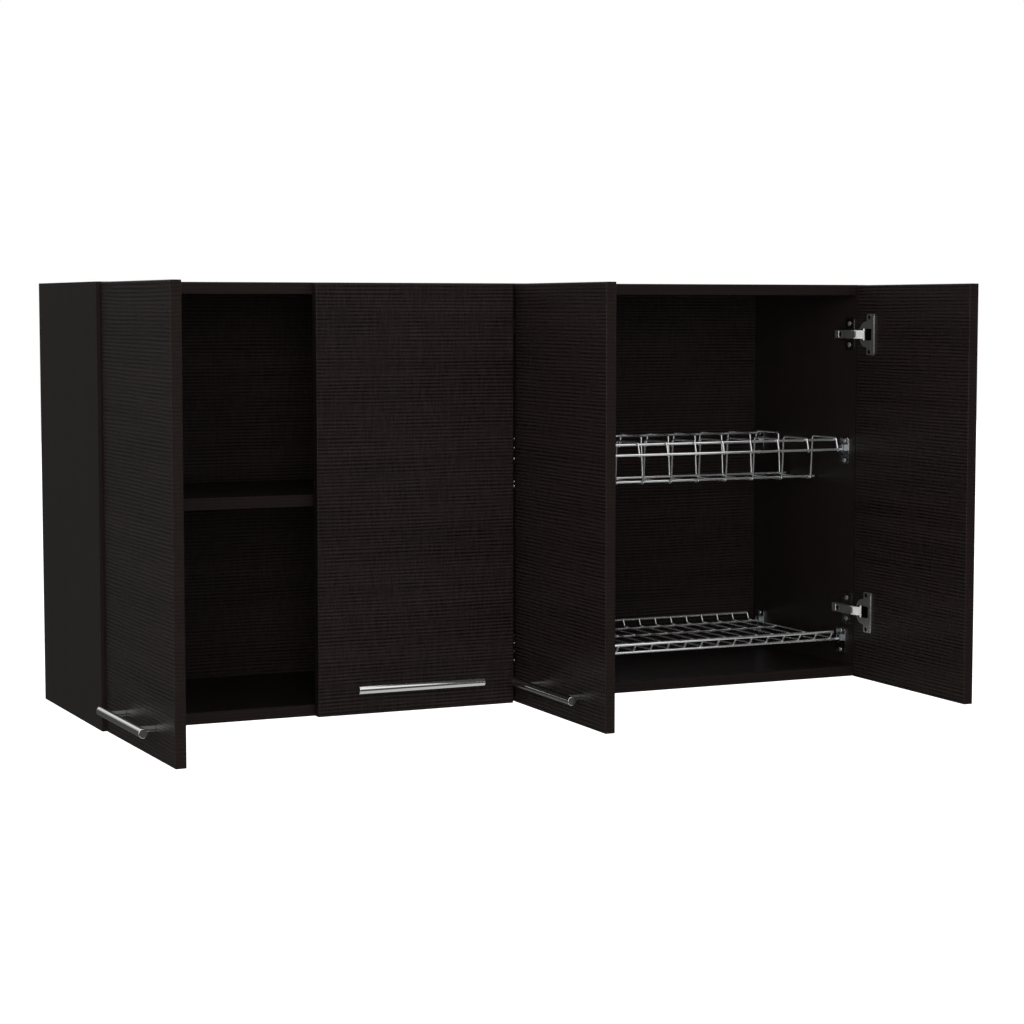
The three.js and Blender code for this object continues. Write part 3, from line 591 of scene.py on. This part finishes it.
# %% Handles
def make_handle(door):
    """A bar on two posts, drawn on the shut door and then placed."""
    bm = bmesh.new()
    bar_line = LEAF_OUTER - HANDLE_STAND_OFF
    bar_middle = ((HANDLE_NEAR + HANDLE_FAR) / 2, bar_line, HANDLE_HEIGHT)
    bar_length = HANDLE_FAR - HANDLE_NEAR
    add_rod(bm, bar_middle, HANDLE_RADIUS, bar_length, ALONG_X, BAR_SIDES, END_ROUNDING)
    before = set(bm.faces)
    post_length = HANDLE_STAND_OFF - SEAT_GAP
    for x in (HANDLE_NEAR + HANDLE_OVERHANG, HANDLE_FAR - HANDLE_OVERHANG):
        post_middle = (x, bar_line + post_length / 2, HANDLE_HEIGHT)
        add_rod(bm, post_middle, POST_RADIUS, post_length, ALONG_Y, POST_SIDES)
    mark_new(bm, before, SECOND_MATERIAL)
    bmesh.ops.transform(bm, matrix=door_place(door), verts=bm.verts)
    bar_and_posts = [satin_y, satin_x] if DOOR_OPEN[door] else [satin_x, satin_y]
    make_piece(f"{door}_bar_handle", bm, bar_and_posts, door, "satin_steel", f"{door}_handle")


for door in DOOR_OPEN:
    make_handle(door)
print("handles:", len(DOOR_OPEN))

# %% [markdown]
# ## Screws
# All screws here have low heads with a cross recess. The head has a flat crown, a sloping shoulder and a
# straight side, so a rim circle is extruded outwards and down. A boolean could cut the cross, but a grid of
# nine cells without its corners already has its shape, so its faces are just pushed down.

# %% Screw helper
SCREW_SIDES = 20
CROSS_CELLS = 3
CROSS_SHARE = 0.56
CROWN_SHARE = 0.72
SHOULDER_SHARE = 0.45
CROSS_TAPER_SHARE = 0.75
CROSS_DEPTH_SHARE = 0.8


def ring_edges(verts):
    """The edges that join a ring of points."""
    ring = set(verts)
    return list({edge for vert in verts for edge in vert.link_edges if ring.issuperset(edge.verts)})


def extrude_ring(bm, edges, offset, scale=1.0):
    """Extrudes a ring of edges by an offset, grows or shrinks the new ring, and returns its edges."""
    grown = bmesh.ops.extrude_edge_only(bm, edges=edges)["geom"]
    verts = [item for item in grown if isinstance(item, bmesh.types.BMVert)]
    bmesh.ops.translate(bm, verts=verts, vec=offset)
    centre = sum((vert.co for vert in verts), Vector()) / len(verts)
    bmesh.ops.scale(bm, verts=verts, vec=(scale, scale, scale), space=Matrix.Translation(-centre))
    return ring_edges(verts)


def add_screw(bm, place, radius, rise, sink):
    """A screw head that stands on the XY plane of its place and faces its Z axis."""
    at_top = place @ Matrix.Translation((0, 0, rise))
    crown = radius * CROWN_SHARE
    rim = bmesh.ops.create_circle(bm, segments=SCREW_SIDES, radius=crown, matrix=at_top)["verts"]
    half = radius * CROSS_SHARE
    grid = bmesh.ops.create_grid(bm, x_segments=CROSS_CELLS, y_segments=CROSS_CELLS, size=half,
                                 matrix=at_top)["verts"]
    cells = list({face for vert in grid for face in vert.link_faces})
    to_local = at_top.inverted()
    centres = {face: to_local @ face.calc_center_median() for face in cells}
    inner = half / CROSS_CELLS
    corners = [face for face in cells if min(abs(centres[face].x), abs(centres[face].y)) > inner]
    cross = [face for face in cells if face not in corners]
    bmesh.ops.delete(bm, geom=corners, context="FACES")
    outline = list({edge for face in cross for edge in face.edges if len(edge.link_faces) == 1})
    rim_edges = ring_edges(rim)
    bmesh.ops.triangle_fill(bm, use_beauty=True, edges=rim_edges + outline)
    pushed = bmesh.ops.extrude_face_region(bm, geom=cross)["geom"]
    floor_points = [item for item in pushed if isinstance(item, bmesh.types.BMVert)]
    inward = -(place.to_3x3() @ Vector((0, 0, 1))).normalized()
    bmesh.ops.translate(bm, verts=floor_points, vec=inward * rise * CROSS_DEPTH_SHARE)
    taper = [CROSS_TAPER_SHARE] * 3
    centre = sum((vert.co for vert in floor_points), Vector()) / len(floor_points)
    bmesh.ops.scale(bm, verts=floor_points, vec=taper, space=Matrix.Translation(-centre))
    shoulder = extrude_ring(bm, rim_edges, inward * rise * SHOULDER_SHARE, 1 / CROWN_SHARE)
    foot = extrude_ring(bm, shoulder, inward * (rise * (1 - SHOULDER_SHARE) + sink))
    bmesh.ops.contextual_create(bm, geom=foot)


print("sides of a screw head:", SCREW_SIDES)

# %% [markdown]
# ## Hinge cups
# The cup is pressed from one sheet: a deep round bowl that sits in the door, with a flat flange and a bar
# that takes two screws. The link folds into the bowl's pocket, and passes out of it through a notch in the
# flange.
#
# A lathe profile could make the round bowl, but not the bar or the pocket, so the cup is drawn flat and then
# given depth. The flange's outline is two arcs, each made by spinning one point, joined by the bar on one
# side and by the pocket on the other, whose corners a bevel rounds. A fill inside this outline gives the
# sheet, and two rings extruded down below it give the bowl, whose brim dips under the notch.

# %% Cup sizes
CUP_CENTRE = 20.5 * MM
CUP_FOOT = LEAF_INNER + SEAT_GAP
CUP_RADIUS = 17.4 * MM
CUP_DEPTH = 12 * MM
CUP_FLOOR = 0.8 * MM
FLANGE_THICKNESS = 1.2 * MM
FLANGE_RADIUS = 19.5 * MM
BAR_START = 2 * MM
BAR_END = 24 * MM
BAR_HALF = 31 * MM
BAR_CORNER = 3 * MM
POCKET_HALF_LENGTH = 15.5 * MM
POCKET_HALF_HEIGHT = 9 * MM
POCKET_CORNER = 2.5 * MM
NOTCH_HALF = 7.3 * MM
NOTCH_DROP = 1 * MM
NOTCH_MARGIN = 1 * MM
LIP_WIDTH = 1.5 * MM
LIP_RISE = 1.1 * MM
CUP_SCREW_OFFSET = 9.5 * MM
CUP_SCREW_SPACING = 52 * MM
CUP_SCREW = {"radius": 3.2 * MM, "rise": 0.8 * MM, "sink": 0.4 * MM}
FLANGE_ROUNDING = 0.3 * MM
LIP_SEGMENTS = 2
CORNER_SEGMENTS = 4
ARC_STEPS = 20
print("bowl across:", round(2 * CUP_RADIUS / MM, 1), "mm")

# %% Cup outline
def chain(bm, points, closed=True):
    """Points on a plane joined by edges."""
    verts = [bm.verts.new((x, y, 0)) for x, y in points]
    for before, after in zip(verts, verts[1:] + verts[:1] if closed else verts[1:]):
        bm.edges.new((before, after))
    return verts


def round_corners(bm, corners, radius):
    """Rounds some corners of a flat outline."""
    bmesh.ops.bevel(bm, geom=corners, offset=radius, segments=CORNER_SEGMENTS, profile=0.5, affect="VERTICES",
                    material=-1)


def pocket_loop(bm):
    """The edges of the pocket, a rectangle about the origin with round corners."""
    before = set(bm.edges)
    x, y = POCKET_HALF_LENGTH, POCKET_HALF_HEIGHT
    round_corners(bm, chain(bm, [(-x, -y), (x, -y), (x, y), (-x, y)]), POCKET_CORNER)
    return [edge for edge in bm.edges if edge not in before]


def flange_outline(bm):
    """Two arcs of the round rim, joined by the screw bar on one side and by notch and pocket on the other."""
    reach = math.sqrt(FLANGE_RADIUS ** 2 - BAR_START ** 2)
    sweep = math.pi - math.asin(NOTCH_HALF / FLANGE_RADIUS) - math.atan2(reach, BAR_START)
    bar = chain(bm, [(BAR_START, BAR_HALF), (BAR_END, BAR_HALF), (BAR_END, -BAR_HALF),
                     (BAR_START, -BAR_HALF)], closed=False)
    pocket_end = POCKET_CORNER - POCKET_HALF_LENGTH
    above_corner = NOTCH_HALF - (POCKET_HALF_HEIGHT - POCKET_CORNER)
    notch_end = pocket_end - math.sqrt(POCKET_CORNER ** 2 - above_corner ** 2)
    pocket = chain(bm, [(notch_end, NOTCH_HALF), (pocket_end, POCKET_HALF_HEIGHT),
                        (POCKET_HALF_LENGTH, POCKET_HALF_HEIGHT), (POCKET_HALF_LENGTH, -POCKET_HALF_HEIGHT),
                        (pocket_end, -POCKET_HALF_HEIGHT), (notch_end, -NOTCH_HALF)], closed=False)
    # The upper arc joins the first points of the bar and the pocket, and the lower arc joins their last ones.
    for side, end in ((1, 0), (-1, -1)):
        first = bm.verts.new((BAR_START, side * reach, 0))
        arc = bmesh.ops.spin(bm, geom=[first], cent=(0, 0, 0), axis=(0, 0, side), dvec=(0, 0, 0), angle=sweep,
                             steps=ARC_STEPS, use_merge=False, use_duplicate=False)
        last = next(item for item in arc["geom_last"] if isinstance(item, bmesh.types.BMVert))
        bm.edges.new((first, bar[end]))
        bm.edges.new((last, pocket[end]))
    round_corners(bm, pocket[2:4], POCKET_CORNER)
    round_corners(bm, bar, BAR_CORNER)
    return list(bm.edges)


print("notch across:", round(2 * NOTCH_HALF / MM, 1), "mm")

# %% Cup sheet and bowl
def sheet_from(bm, edges, thickness):
    """Fills inside an outline and gives the sheet its thickness."""
    filled = bmesh.ops.triangle_fill(bm, use_beauty=True, edges=edges)["geom"]
    faces = [item for item in filled if isinstance(item, bmesh.types.BMFace)]
    grown = bmesh.ops.extrude_face_region(bm, geom=faces)["geom"]
    top = [item for item in grown if isinstance(item, bmesh.types.BMVert)]
    bmesh.ops.translate(bm, verts=top, vec=(0, 0, thickness))


def cup_mesh():
    """The cup with its bowl's mouth at height 0 and the flange above it, centred on the bowl's axis."""
    bm = bmesh.new()
    sheet_from(bm, flange_outline(bm), FLANGE_THICKNESS)
    round_edges(bm, FLANGE_ROUNDING)
    rim = ring_edges(bmesh.ops.create_circle(bm, segments=ARC_STEPS * 2, radius=CUP_RADIUS)["verts"])
    mouth = pocket_loop(bm)
    bmesh.ops.triangle_fill(bm, use_beauty=True, edges=rim + mouth)
    brim = {vert for edge in rim + mouth for vert in edge.verts}
    dip = [vert for vert in brim if vert.co.x < 0 and abs(vert.co.y) < NOTCH_HALF + NOTCH_MARGIN]
    # The bowl's inner walls and floor take the second material, painted dark as shade.
    before = set(bm.faces)
    inside = extrude_ring(bm, mouth, (0, 0, CUP_FLOOR - CUP_DEPTH))
    bmesh.ops.contextual_create(bm, geom=inside)
    mark_new(bm, before, SECOND_MATERIAL)
    outside = extrude_ring(bm, rim, (0, 0, -CUP_DEPTH))
    bmesh.ops.contextual_create(bm, geom=outside)
    bmesh.ops.translate(bm, verts=dip, vec=(0, 0, -NOTCH_DROP))
    # The lip is coloured with the screws' bright zinc, a painted highlight along the cup's edge.
    lip_size = (LIP_WIDTH, 2 * (BAR_HALF - BAR_CORNER), FLANGE_THICKNESS / 2 + LIP_RISE)
    lip_place = (BAR_END - LIP_WIDTH / 2, 0, FLANGE_THICKNESS + LIP_RISE - lip_size[2] / 2)
    before = set(bm.faces)
    lip_shape = Matrix.Translation(lip_place) @ Matrix.Diagonal((*lip_size, 1))
    lip = bmesh.ops.create_cube(bm, size=1, matrix=lip_shape)
    edges = list({edge for vert in lip["verts"] for edge in vert.link_edges})
    bevel_edges(bm, edges, FLANGE_ROUNDING, LIP_SEGMENTS)
    mark_new(bm, before, THIRD_MATERIAL)
    return bm


print("bowl depth:", round(CUP_DEPTH / MM, 1), "mm")

# %% Cups in the doors
# Swaps Y and Z, so that a sheet drawn flat stands on the inner face of a shut door.
SHEET_ON_DOOR = Matrix(((1, 0, 0, 0), (0, 0, 1, 0), (0, 1, 0, 0), (0, 0, 0, 1)))


def make_cup(door, level):
    """A cup in its door, and its two screws."""
    place = door_place(door) @ Matrix.Translation((CUP_CENTRE, CUP_FOOT, HINGE_LEVEL[level])) @ SHEET_ON_DOOR
    node = f"{door}_{level}_hinge_cup"
    bm = cup_mesh()
    bmesh.ops.transform(bm, matrix=place, verts=bm.verts)
    # The bowl's inside takes the painted shade, and the lip takes the screws' bright zinc as a painted
    # highlight.
    make_piece(f"{node}_pressed", bm, [nickel, bowl_painted_shade_steel, screw_zinc_and_painted_glint], door, "nickel_steel", node)
    screws = bmesh.new()
    for end in (-1, 1):
        spot = Matrix.Translation((CUP_SCREW_OFFSET, end * CUP_SCREW_SPACING / 2, FLANGE_THICKNESS))
        add_screw(screws, place @ spot, **CUP_SCREW)
    make_piece(f"{node}_screws", screws, [black_screw], door, "bright_steel")


for door in DOOR_OPEN:
    for level in HINGE_LEVEL:
        make_cup(door, level)
print("cups:", len(DOOR_OPEN) * len(HINGE_LEVEL))

# %% [markdown]
# ## Arms, links and mounting plates
# These are folded from sheet. They could be modelled flat and then bent, but the solids already have their
# folds and holes, so each is copied and its edges are rounded, as the press leaves them. Two bright screws
# hold the plate to the board, a black one clamps the arm on the plate, and a rib lies across the arm,
# coloured with the screws' bright zinc as a painted highlight.

# %% Hinge places
FRONT_EDGE = -305 * MM
BOARD_FACE = {"door_1": -584 * MM, "door_2": -8 * MM, "door_3": 8 * MM, "door_4": 584 * MM}


def board_place(door, level):
    """From the board's face, with X off the board and Y to the back, to where the hinge is mounted."""
    spot = Matrix.Translation((BOARD_FACE[door], FRONT_EDGE, HINGE_LEVEL[level]))
    return spot @ Matrix.Diagonal((DOOR_SIDE[door], 1, 1, 1))


print("upper hinge of door_4 at", [round(v, 4) for v in board_place("door_4", "upper").translation])

# %% Pressed hinge parts
PRESS_ROUNDING = 0.3 * MM
THIN_SIDES = 12
HINGE_PARTS = {
    # The plates take the nickel painted darker, as shade.
    "plate": ([plate_nickel_painted_shade], "nickel_steel"),
    "arm": ([nickel], "nickel_steel"),
    # The link takes the nickel painted nearly white, as a painted highlight.
    "link": ([link_nickel_painted_highlight], "bright_steel"),
}
PLATE_SCREW_SETBACK = 17 * MM
PLATE_SCREW_SPACING = 32 * MM
PLATE_THICKNESS = 2 * MM
ARM_SCREW_SETBACK = 27 * MM
ARM_TOP = 11.8 * MM
ARM_RIB_SETBACK = 32 * MM
ARM_RIB_RADIUS = 1.1 * MM
ARM_RIB_LENGTH = 10 * MM
ARM_RIB_ROUNDING = 0.275 * MM
PLATE_SCREW = {"radius": 3.6 * MM, "rise": 1.2 * MM, "sink": 0.4 * MM}
CLAMP_SCREW = {"radius": 3.4 * MM, "rise": 0.9 * MM, "sink": 2 * MM}
OFF_BOARD = ALONG_X


def make_hinge_parts(door, level):
    """The three pressed parts of one hinge and the screws that hold them."""
    for part, (materials, slot) in HINGE_PARTS.items():
        node = f"{door}_{level}_hinge_{part}"
        bm = whole_copy(node)
        round_edges(bm, PRESS_ROUNDING)
        make_piece(f"{node}_pressed", bm, materials, body_of(node), slot, node)
    place = board_place(door, level)
    screws = bmesh.new()
    for end in (-1, 1):
        spot = Matrix.Translation((PLATE_THICKNESS, PLATE_SCREW_SETBACK, end * PLATE_SCREW_SPACING / 2))
        add_screw(screws, place @ spot @ OFF_BOARD, **PLATE_SCREW)
    # The rib is coloured with the screws' bright zinc, not the arm's nickel: a painted highlight across the
    # arm.
    rib = place @ Matrix.Translation((ARM_TOP, ARM_RIB_SETBACK, 0))
    add_rod(screws, (0, 0, 0), ARM_RIB_RADIUS, ARM_RIB_LENGTH, rib, THIN_SIDES, ARM_RIB_ROUNDING)
    before = set(screws.faces)
    spot = Matrix.Translation((ARM_TOP, ARM_SCREW_SETBACK, 0))
    add_screw(screws, place @ spot @ OFF_BOARD, **CLAMP_SCREW)
    mark_new(screws, before, SECOND_MATERIAL)
    make_piece(f"{door}_{level}_hinge_screws", screws, [screw_zinc_and_painted_glint, black_screw],
               body_of(f"{door}_{level}_hinge_plate"), "bright_steel")


for door in DOOR_OPEN:
    for level in HINGE_LEVEL:
        make_hinge_parts(door, level)
print("pressed parts:", len(HINGE_PARTS) * len(DOOR_OPEN) * len(HINGE_LEVEL))

# %% [markdown]
# ## Wire racks
# A rack is bent from straight wire on a jig, spot welded and then plated. A curve with a round bevel could
# draw it, but each of its bends would have to be rounded by hand. So the mesh is made as the wire is: a
# circle is extruded along each straight run and spun round each bend, and every bend has one radius.

# %% Bent wire
BEND_STEPS = 5


def bent_wire(bm, corners, radius, bend_radius):
    """A round wire through some corners, each rounded to the bend radius."""
    corners = [Vector(corner) for corner in corners]
    heading = (corners[1] - corners[0]).normalized()
    start = Matrix.Translation(corners[0]) @ heading.to_track_quat("Z", "Y").to_matrix().to_4x4()
    ring = bmesh.ops.create_circle(bm, cap_ends=True, segments=THIN_SIDES, radius=radius, matrix=start)
    edges = ring_edges(ring["verts"])
    here = corners[0]
    for corner, after in zip(corners[1:-1], corners[2:]):
        onward = (after - corner).normalized()
        turn = heading.angle(onward)
        reach = bend_radius * math.tan(turn / 2)
        bend_start = corner - heading * reach
        edges = extrude_ring(bm, edges, bend_start - here)
        axis = heading.cross(onward).normalized()
        centre = bend_start + axis.cross(heading) * bend_radius
        spun = bmesh.ops.spin(bm, geom=edges, cent=centre, axis=axis, dvec=(0, 0, 0), angle=turn,
                              steps=BEND_STEPS, use_merge=False, use_duplicate=False)
        edges = [item for item in spun["geom_last"] if isinstance(item, bmesh.types.BMEdge)]
        here = corner + onward * reach
        heading = onward
    edges = extrude_ring(bm, edges, corners[-1] - here)
    bmesh.ops.contextual_create(bm, geom=edges)


print("steps round a bend:", BEND_STEPS)

# %% [markdown]
# The plate rack is a row of hoops with a deep trough in the middle. All hoops are alike, so one list of
# corners serves for all. Six straight wires tie the hoops together, and two of these rest in the brackets.

# %% Plate rack sizes
FRAME_RADIUS = 2 * MM
HOOP_RADIUS = 1.5 * MM
WIRE_SINK = 0.7 * MM
WIRE_BEND = 4 * MM
rack_low, rack_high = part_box("plate_rack")
RACK_LEFT = rack_low.x
RACK_RIGHT = rack_high.x
RACK_TOP = rack_high.z - HOOP_RADIUS
HOOP_SHELF = 67.5 * MM
HOOP_LEAN = 5 * MM
LEG_LEAN = 6 * MM
LEG_HEIGHT = 20.5 * MM
WIRE_DROP = 17.5 * MM
TROUGH_DROP = 66.5 * MM
HOOP_PITCH = 48 * MM
HOOP_WIDE_PITCH = 52.4 * MM
FIRST_HOOP = 22.6 * MM
EVEN_HOOPS = 10
WIDE_HOOPS = 2
FRONT_WIRE_SETBACK = 27 * MM
REAR_WIRE_SETBACK = 281 * MM
WIRE_FRONT = FRONT_EDGE + FRONT_WIRE_SETBACK
WIRE_REAR = FRONT_EDGE + REAR_WIRE_SETBACK
LEG_FOOT = 29.0 * MM
print("rack length:", round((RACK_RIGHT - RACK_LEFT) / MM, 1), "mm")

# %% Plate rack
def across(bm, y, z, x0, x1):
    """A straight wire from left to right."""
    bent_wire(bm, [(x0, y, z), (x1, y, z)], FRAME_RADIUS, WIRE_BEND)


def mirrored_rows(bm, rows, middle):
    """Straight wires at the front and, mirrored about the middle, at the rear."""
    for y, z, x0, x1 in rows:
        across(bm, y, z, x0, x1)
        across(bm, 2 * middle - y, z, x0, x1)


def make_plate_rack():
    """Hoops and the straight wires that tie them."""
    bm = bmesh.new()
    places = [RACK_LEFT + FIRST_HOOP + k * HOOP_PITCH for k in range(EVEN_HOOPS)]
    places += [places[-1] + k * HOOP_WIDE_PITCH for k in range(1, WIDE_HOOPS + 1)]
    wire_reach = FRAME_RADIUS + HOOP_RADIUS - WIRE_SINK
    middle = (WIRE_FRONT + WIRE_REAR) / 2
    foot = FRONT_EDGE + LEG_FOOT
    shoulder = foot + LEG_LEAN
    trough = shoulder + HOOP_SHELF + HOOP_LEAN
    half = [(foot, RACK_TOP - LEG_HEIGHT), (shoulder, RACK_TOP), (shoulder + HOOP_SHELF, RACK_TOP),
            (trough, RACK_TOP - TROUGH_DROP)]
    hoop = half + [(2 * middle - y, z) for y, z in reversed(half)]
    for x in places:
        bent_wire(bm, [(x, y, z) for y, z in hoop], HOOP_RADIUS, WIRE_BEND)
    mirrored_rows(bm, [
        (WIRE_FRONT, RACK_TOP - WIRE_DROP, RACK_LEFT, RACK_RIGHT),
        (shoulder + WIRE_BEND, RACK_TOP - wire_reach, places[0], places[-1]),
        (trough + WIRE_BEND, RACK_TOP - TROUGH_DROP + wire_reach, RACK_LEFT, RACK_RIGHT),
    ], middle)
    make_piece("plate_rack_plated_wire", bm, [chrome], body_of("plate_rack"), "chrome_wire", "plate_rack")
    return len(places)


print("hoops:", make_plate_rack())

# %% [markdown]
# The cup rack is a flat grid. Its cross wires lie on four long ones and are bent up at both ends, where a
# raised long wire ties their tips. The helpers of the plate rack draw it too.

# %% Cup rack
GRID_RADIUS = 1.4 * MM
CUP_WIRE_LEVEL = -246 * MM
LIP_HEIGHT = 13 * MM
LIP_INSET = 5 * MM
GRID_PITCH = 28.6 * MM
FIRST_GRID_WIRE = 6.6 * MM
GRID_WIRES = 20
GRID_RAILS = 2


def make_cup_rack():
    """The grid and the long wires under it and at its lips."""
    bm = bmesh.new()
    places = [RACK_LEFT + FIRST_GRID_WIRE + k * GRID_PITCH for k in range(GRID_WIRES)]
    grid_reach = FRAME_RADIUS + GRID_RADIUS - WIRE_SINK
    middle = (WIRE_FRONT + WIRE_REAR) / 2
    level = CUP_WIRE_LEVEL + grid_reach
    lip = CUP_WIRE_LEVEL + LIP_HEIGHT
    half = [(WIRE_FRONT - LIP_INSET + grid_reach, lip), (WIRE_FRONT + LIP_INSET - WIRE_BEND / 2, level)]
    profile = half + [(2 * middle - y, z) for y, z in reversed(half)]
    for x in places:
        bent_wire(bm, [(x, y, z) for y, z in profile], GRID_RADIUS, WIRE_BEND)
    rail_step = (WIRE_REAR - WIRE_FRONT) / (GRID_RAILS + 1)
    mirrored_rows(bm, [
        (WIRE_FRONT + LIP_INSET, CUP_WIRE_LEVEL, RACK_LEFT, RACK_RIGHT),
        (WIRE_FRONT + rail_step, CUP_WIRE_LEVEL, places[0], places[-1]),
        (WIRE_FRONT - LIP_INSET, lip, places[0], places[-1]),
    ], middle)
    make_piece("cup_rack_plated_wire", bm, [chrome], body_of("cup_rack"), "chrome_wire", "cup_rack")
    return len(places)


print("grid wires:", make_cup_rack())

# %% [markdown]
# ## Brackets and hanging plates
# The rack brackets and the plates on the back are stamped from zinc plated sheet. They could be drawn again
# as outlines, but their solids have the right outline and holes, so they are copied with rounded edges, and
# screws go into the holes.

# %% Stamping helper
STAMP_ROUNDING = 0.35 * MM


def make_stamped(node):
    """A stamped piece copied from its solid, with rounded edges."""
    bm = whole_copy(node)
    round_edges(bm, STAMP_ROUNDING)
    make_piece(f"{node}_stamped", bm, [zinc], body_of(node), "zinc_plate", node)


print("stamped edges are rounded by", STAMP_ROUNDING / MM, "mm")

# %% Brackets
BRACKET_THICKNESS = 2.5 * MM
BRACKET_SCREW_RISES = (13 * MM, -17 * MM)
BRACKET_SCREW = {"radius": 3.4 * MM, "rise": 1.3 * MM, "sink": 0.4 * MM}
# For each rack: how far back its front and rear wires lie, and at what height.
RACK_LEVEL = {
    "plate_rack": (WIRE_FRONT, WIRE_REAR, RACK_TOP - WIRE_DROP),
    "cup_rack": (WIRE_FRONT + LIP_INSET, WIRE_REAR - LIP_INSET, CUP_WIRE_LEVEL),
}
ENDS = ("front", "rear")
HANDS = ("left", "right")


def make_bracket(rack, end, hand):
    """A bracket on its board with two screws."""
    node = f"{rack}_{end}_{hand}_bracket"
    make_stamped(node)
    front_y, rear_y, z = RACK_LEVEL[rack]
    face = BOARD_FACE["door_3"] if hand == "left" else BOARD_FACE["door_4"]
    side = 1 if hand == "left" else -1
    origin = Matrix.Translation((face, front_y if end == "front" else rear_y, z))
    screws = bmesh.new()
    for rise in BRACKET_SCREW_RISES:
        spot = Matrix.Diagonal((side, 1, 1, 1)) @ Matrix.Translation((BRACKET_THICKNESS, 0, rise))
        add_screw(screws, origin @ spot @ OFF_BOARD, **BRACKET_SCREW)
    make_piece(f"{node}_screws", screws, [screw_zinc_and_painted_glint], body_of(node), "bright_steel")


for rack in RACK_LEVEL:
    for end in ENDS:
        for hand in HANDS:
            make_bracket(rack, end, hand)
print("brackets:", len(RACK_LEVEL) * len(ENDS) * len(HANDS))

# %% Hanging plates
HANGER_SCREW_SPACING = 60 * MM
HANGER_THICKNESS = 2 * MM
HANGER_SCREW = {"radius": 3.2 * MM, "rise": 0.9 * MM, "sink": 1 * MM}
TO_THE_WALL = Matrix.Rotation(math.radians(-90), 4, "X")
for hand in HANDS:
    node = f"{hand}_hanging_plate"
    low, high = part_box(node)
    make_stamped(node)
    screws = bmesh.new()
    for end in (-1, 1):
        height = (low.z + high.z) / 2 + end * HANGER_SCREW_SPACING / 2
        spot = ((low.x + high.x) / 2, -HANGER_THICKNESS / 2, height)
        add_screw(screws, Matrix.Translation(spot) @ TO_THE_WALL, **HANGER_SCREW)
    make_piece(f"{node}_screws", screws, [screw_zinc_and_painted_glint], body_of(node), "bright_steel")
    print(node, "is", round((high.z - low.z) / MM, 1), "mm high")
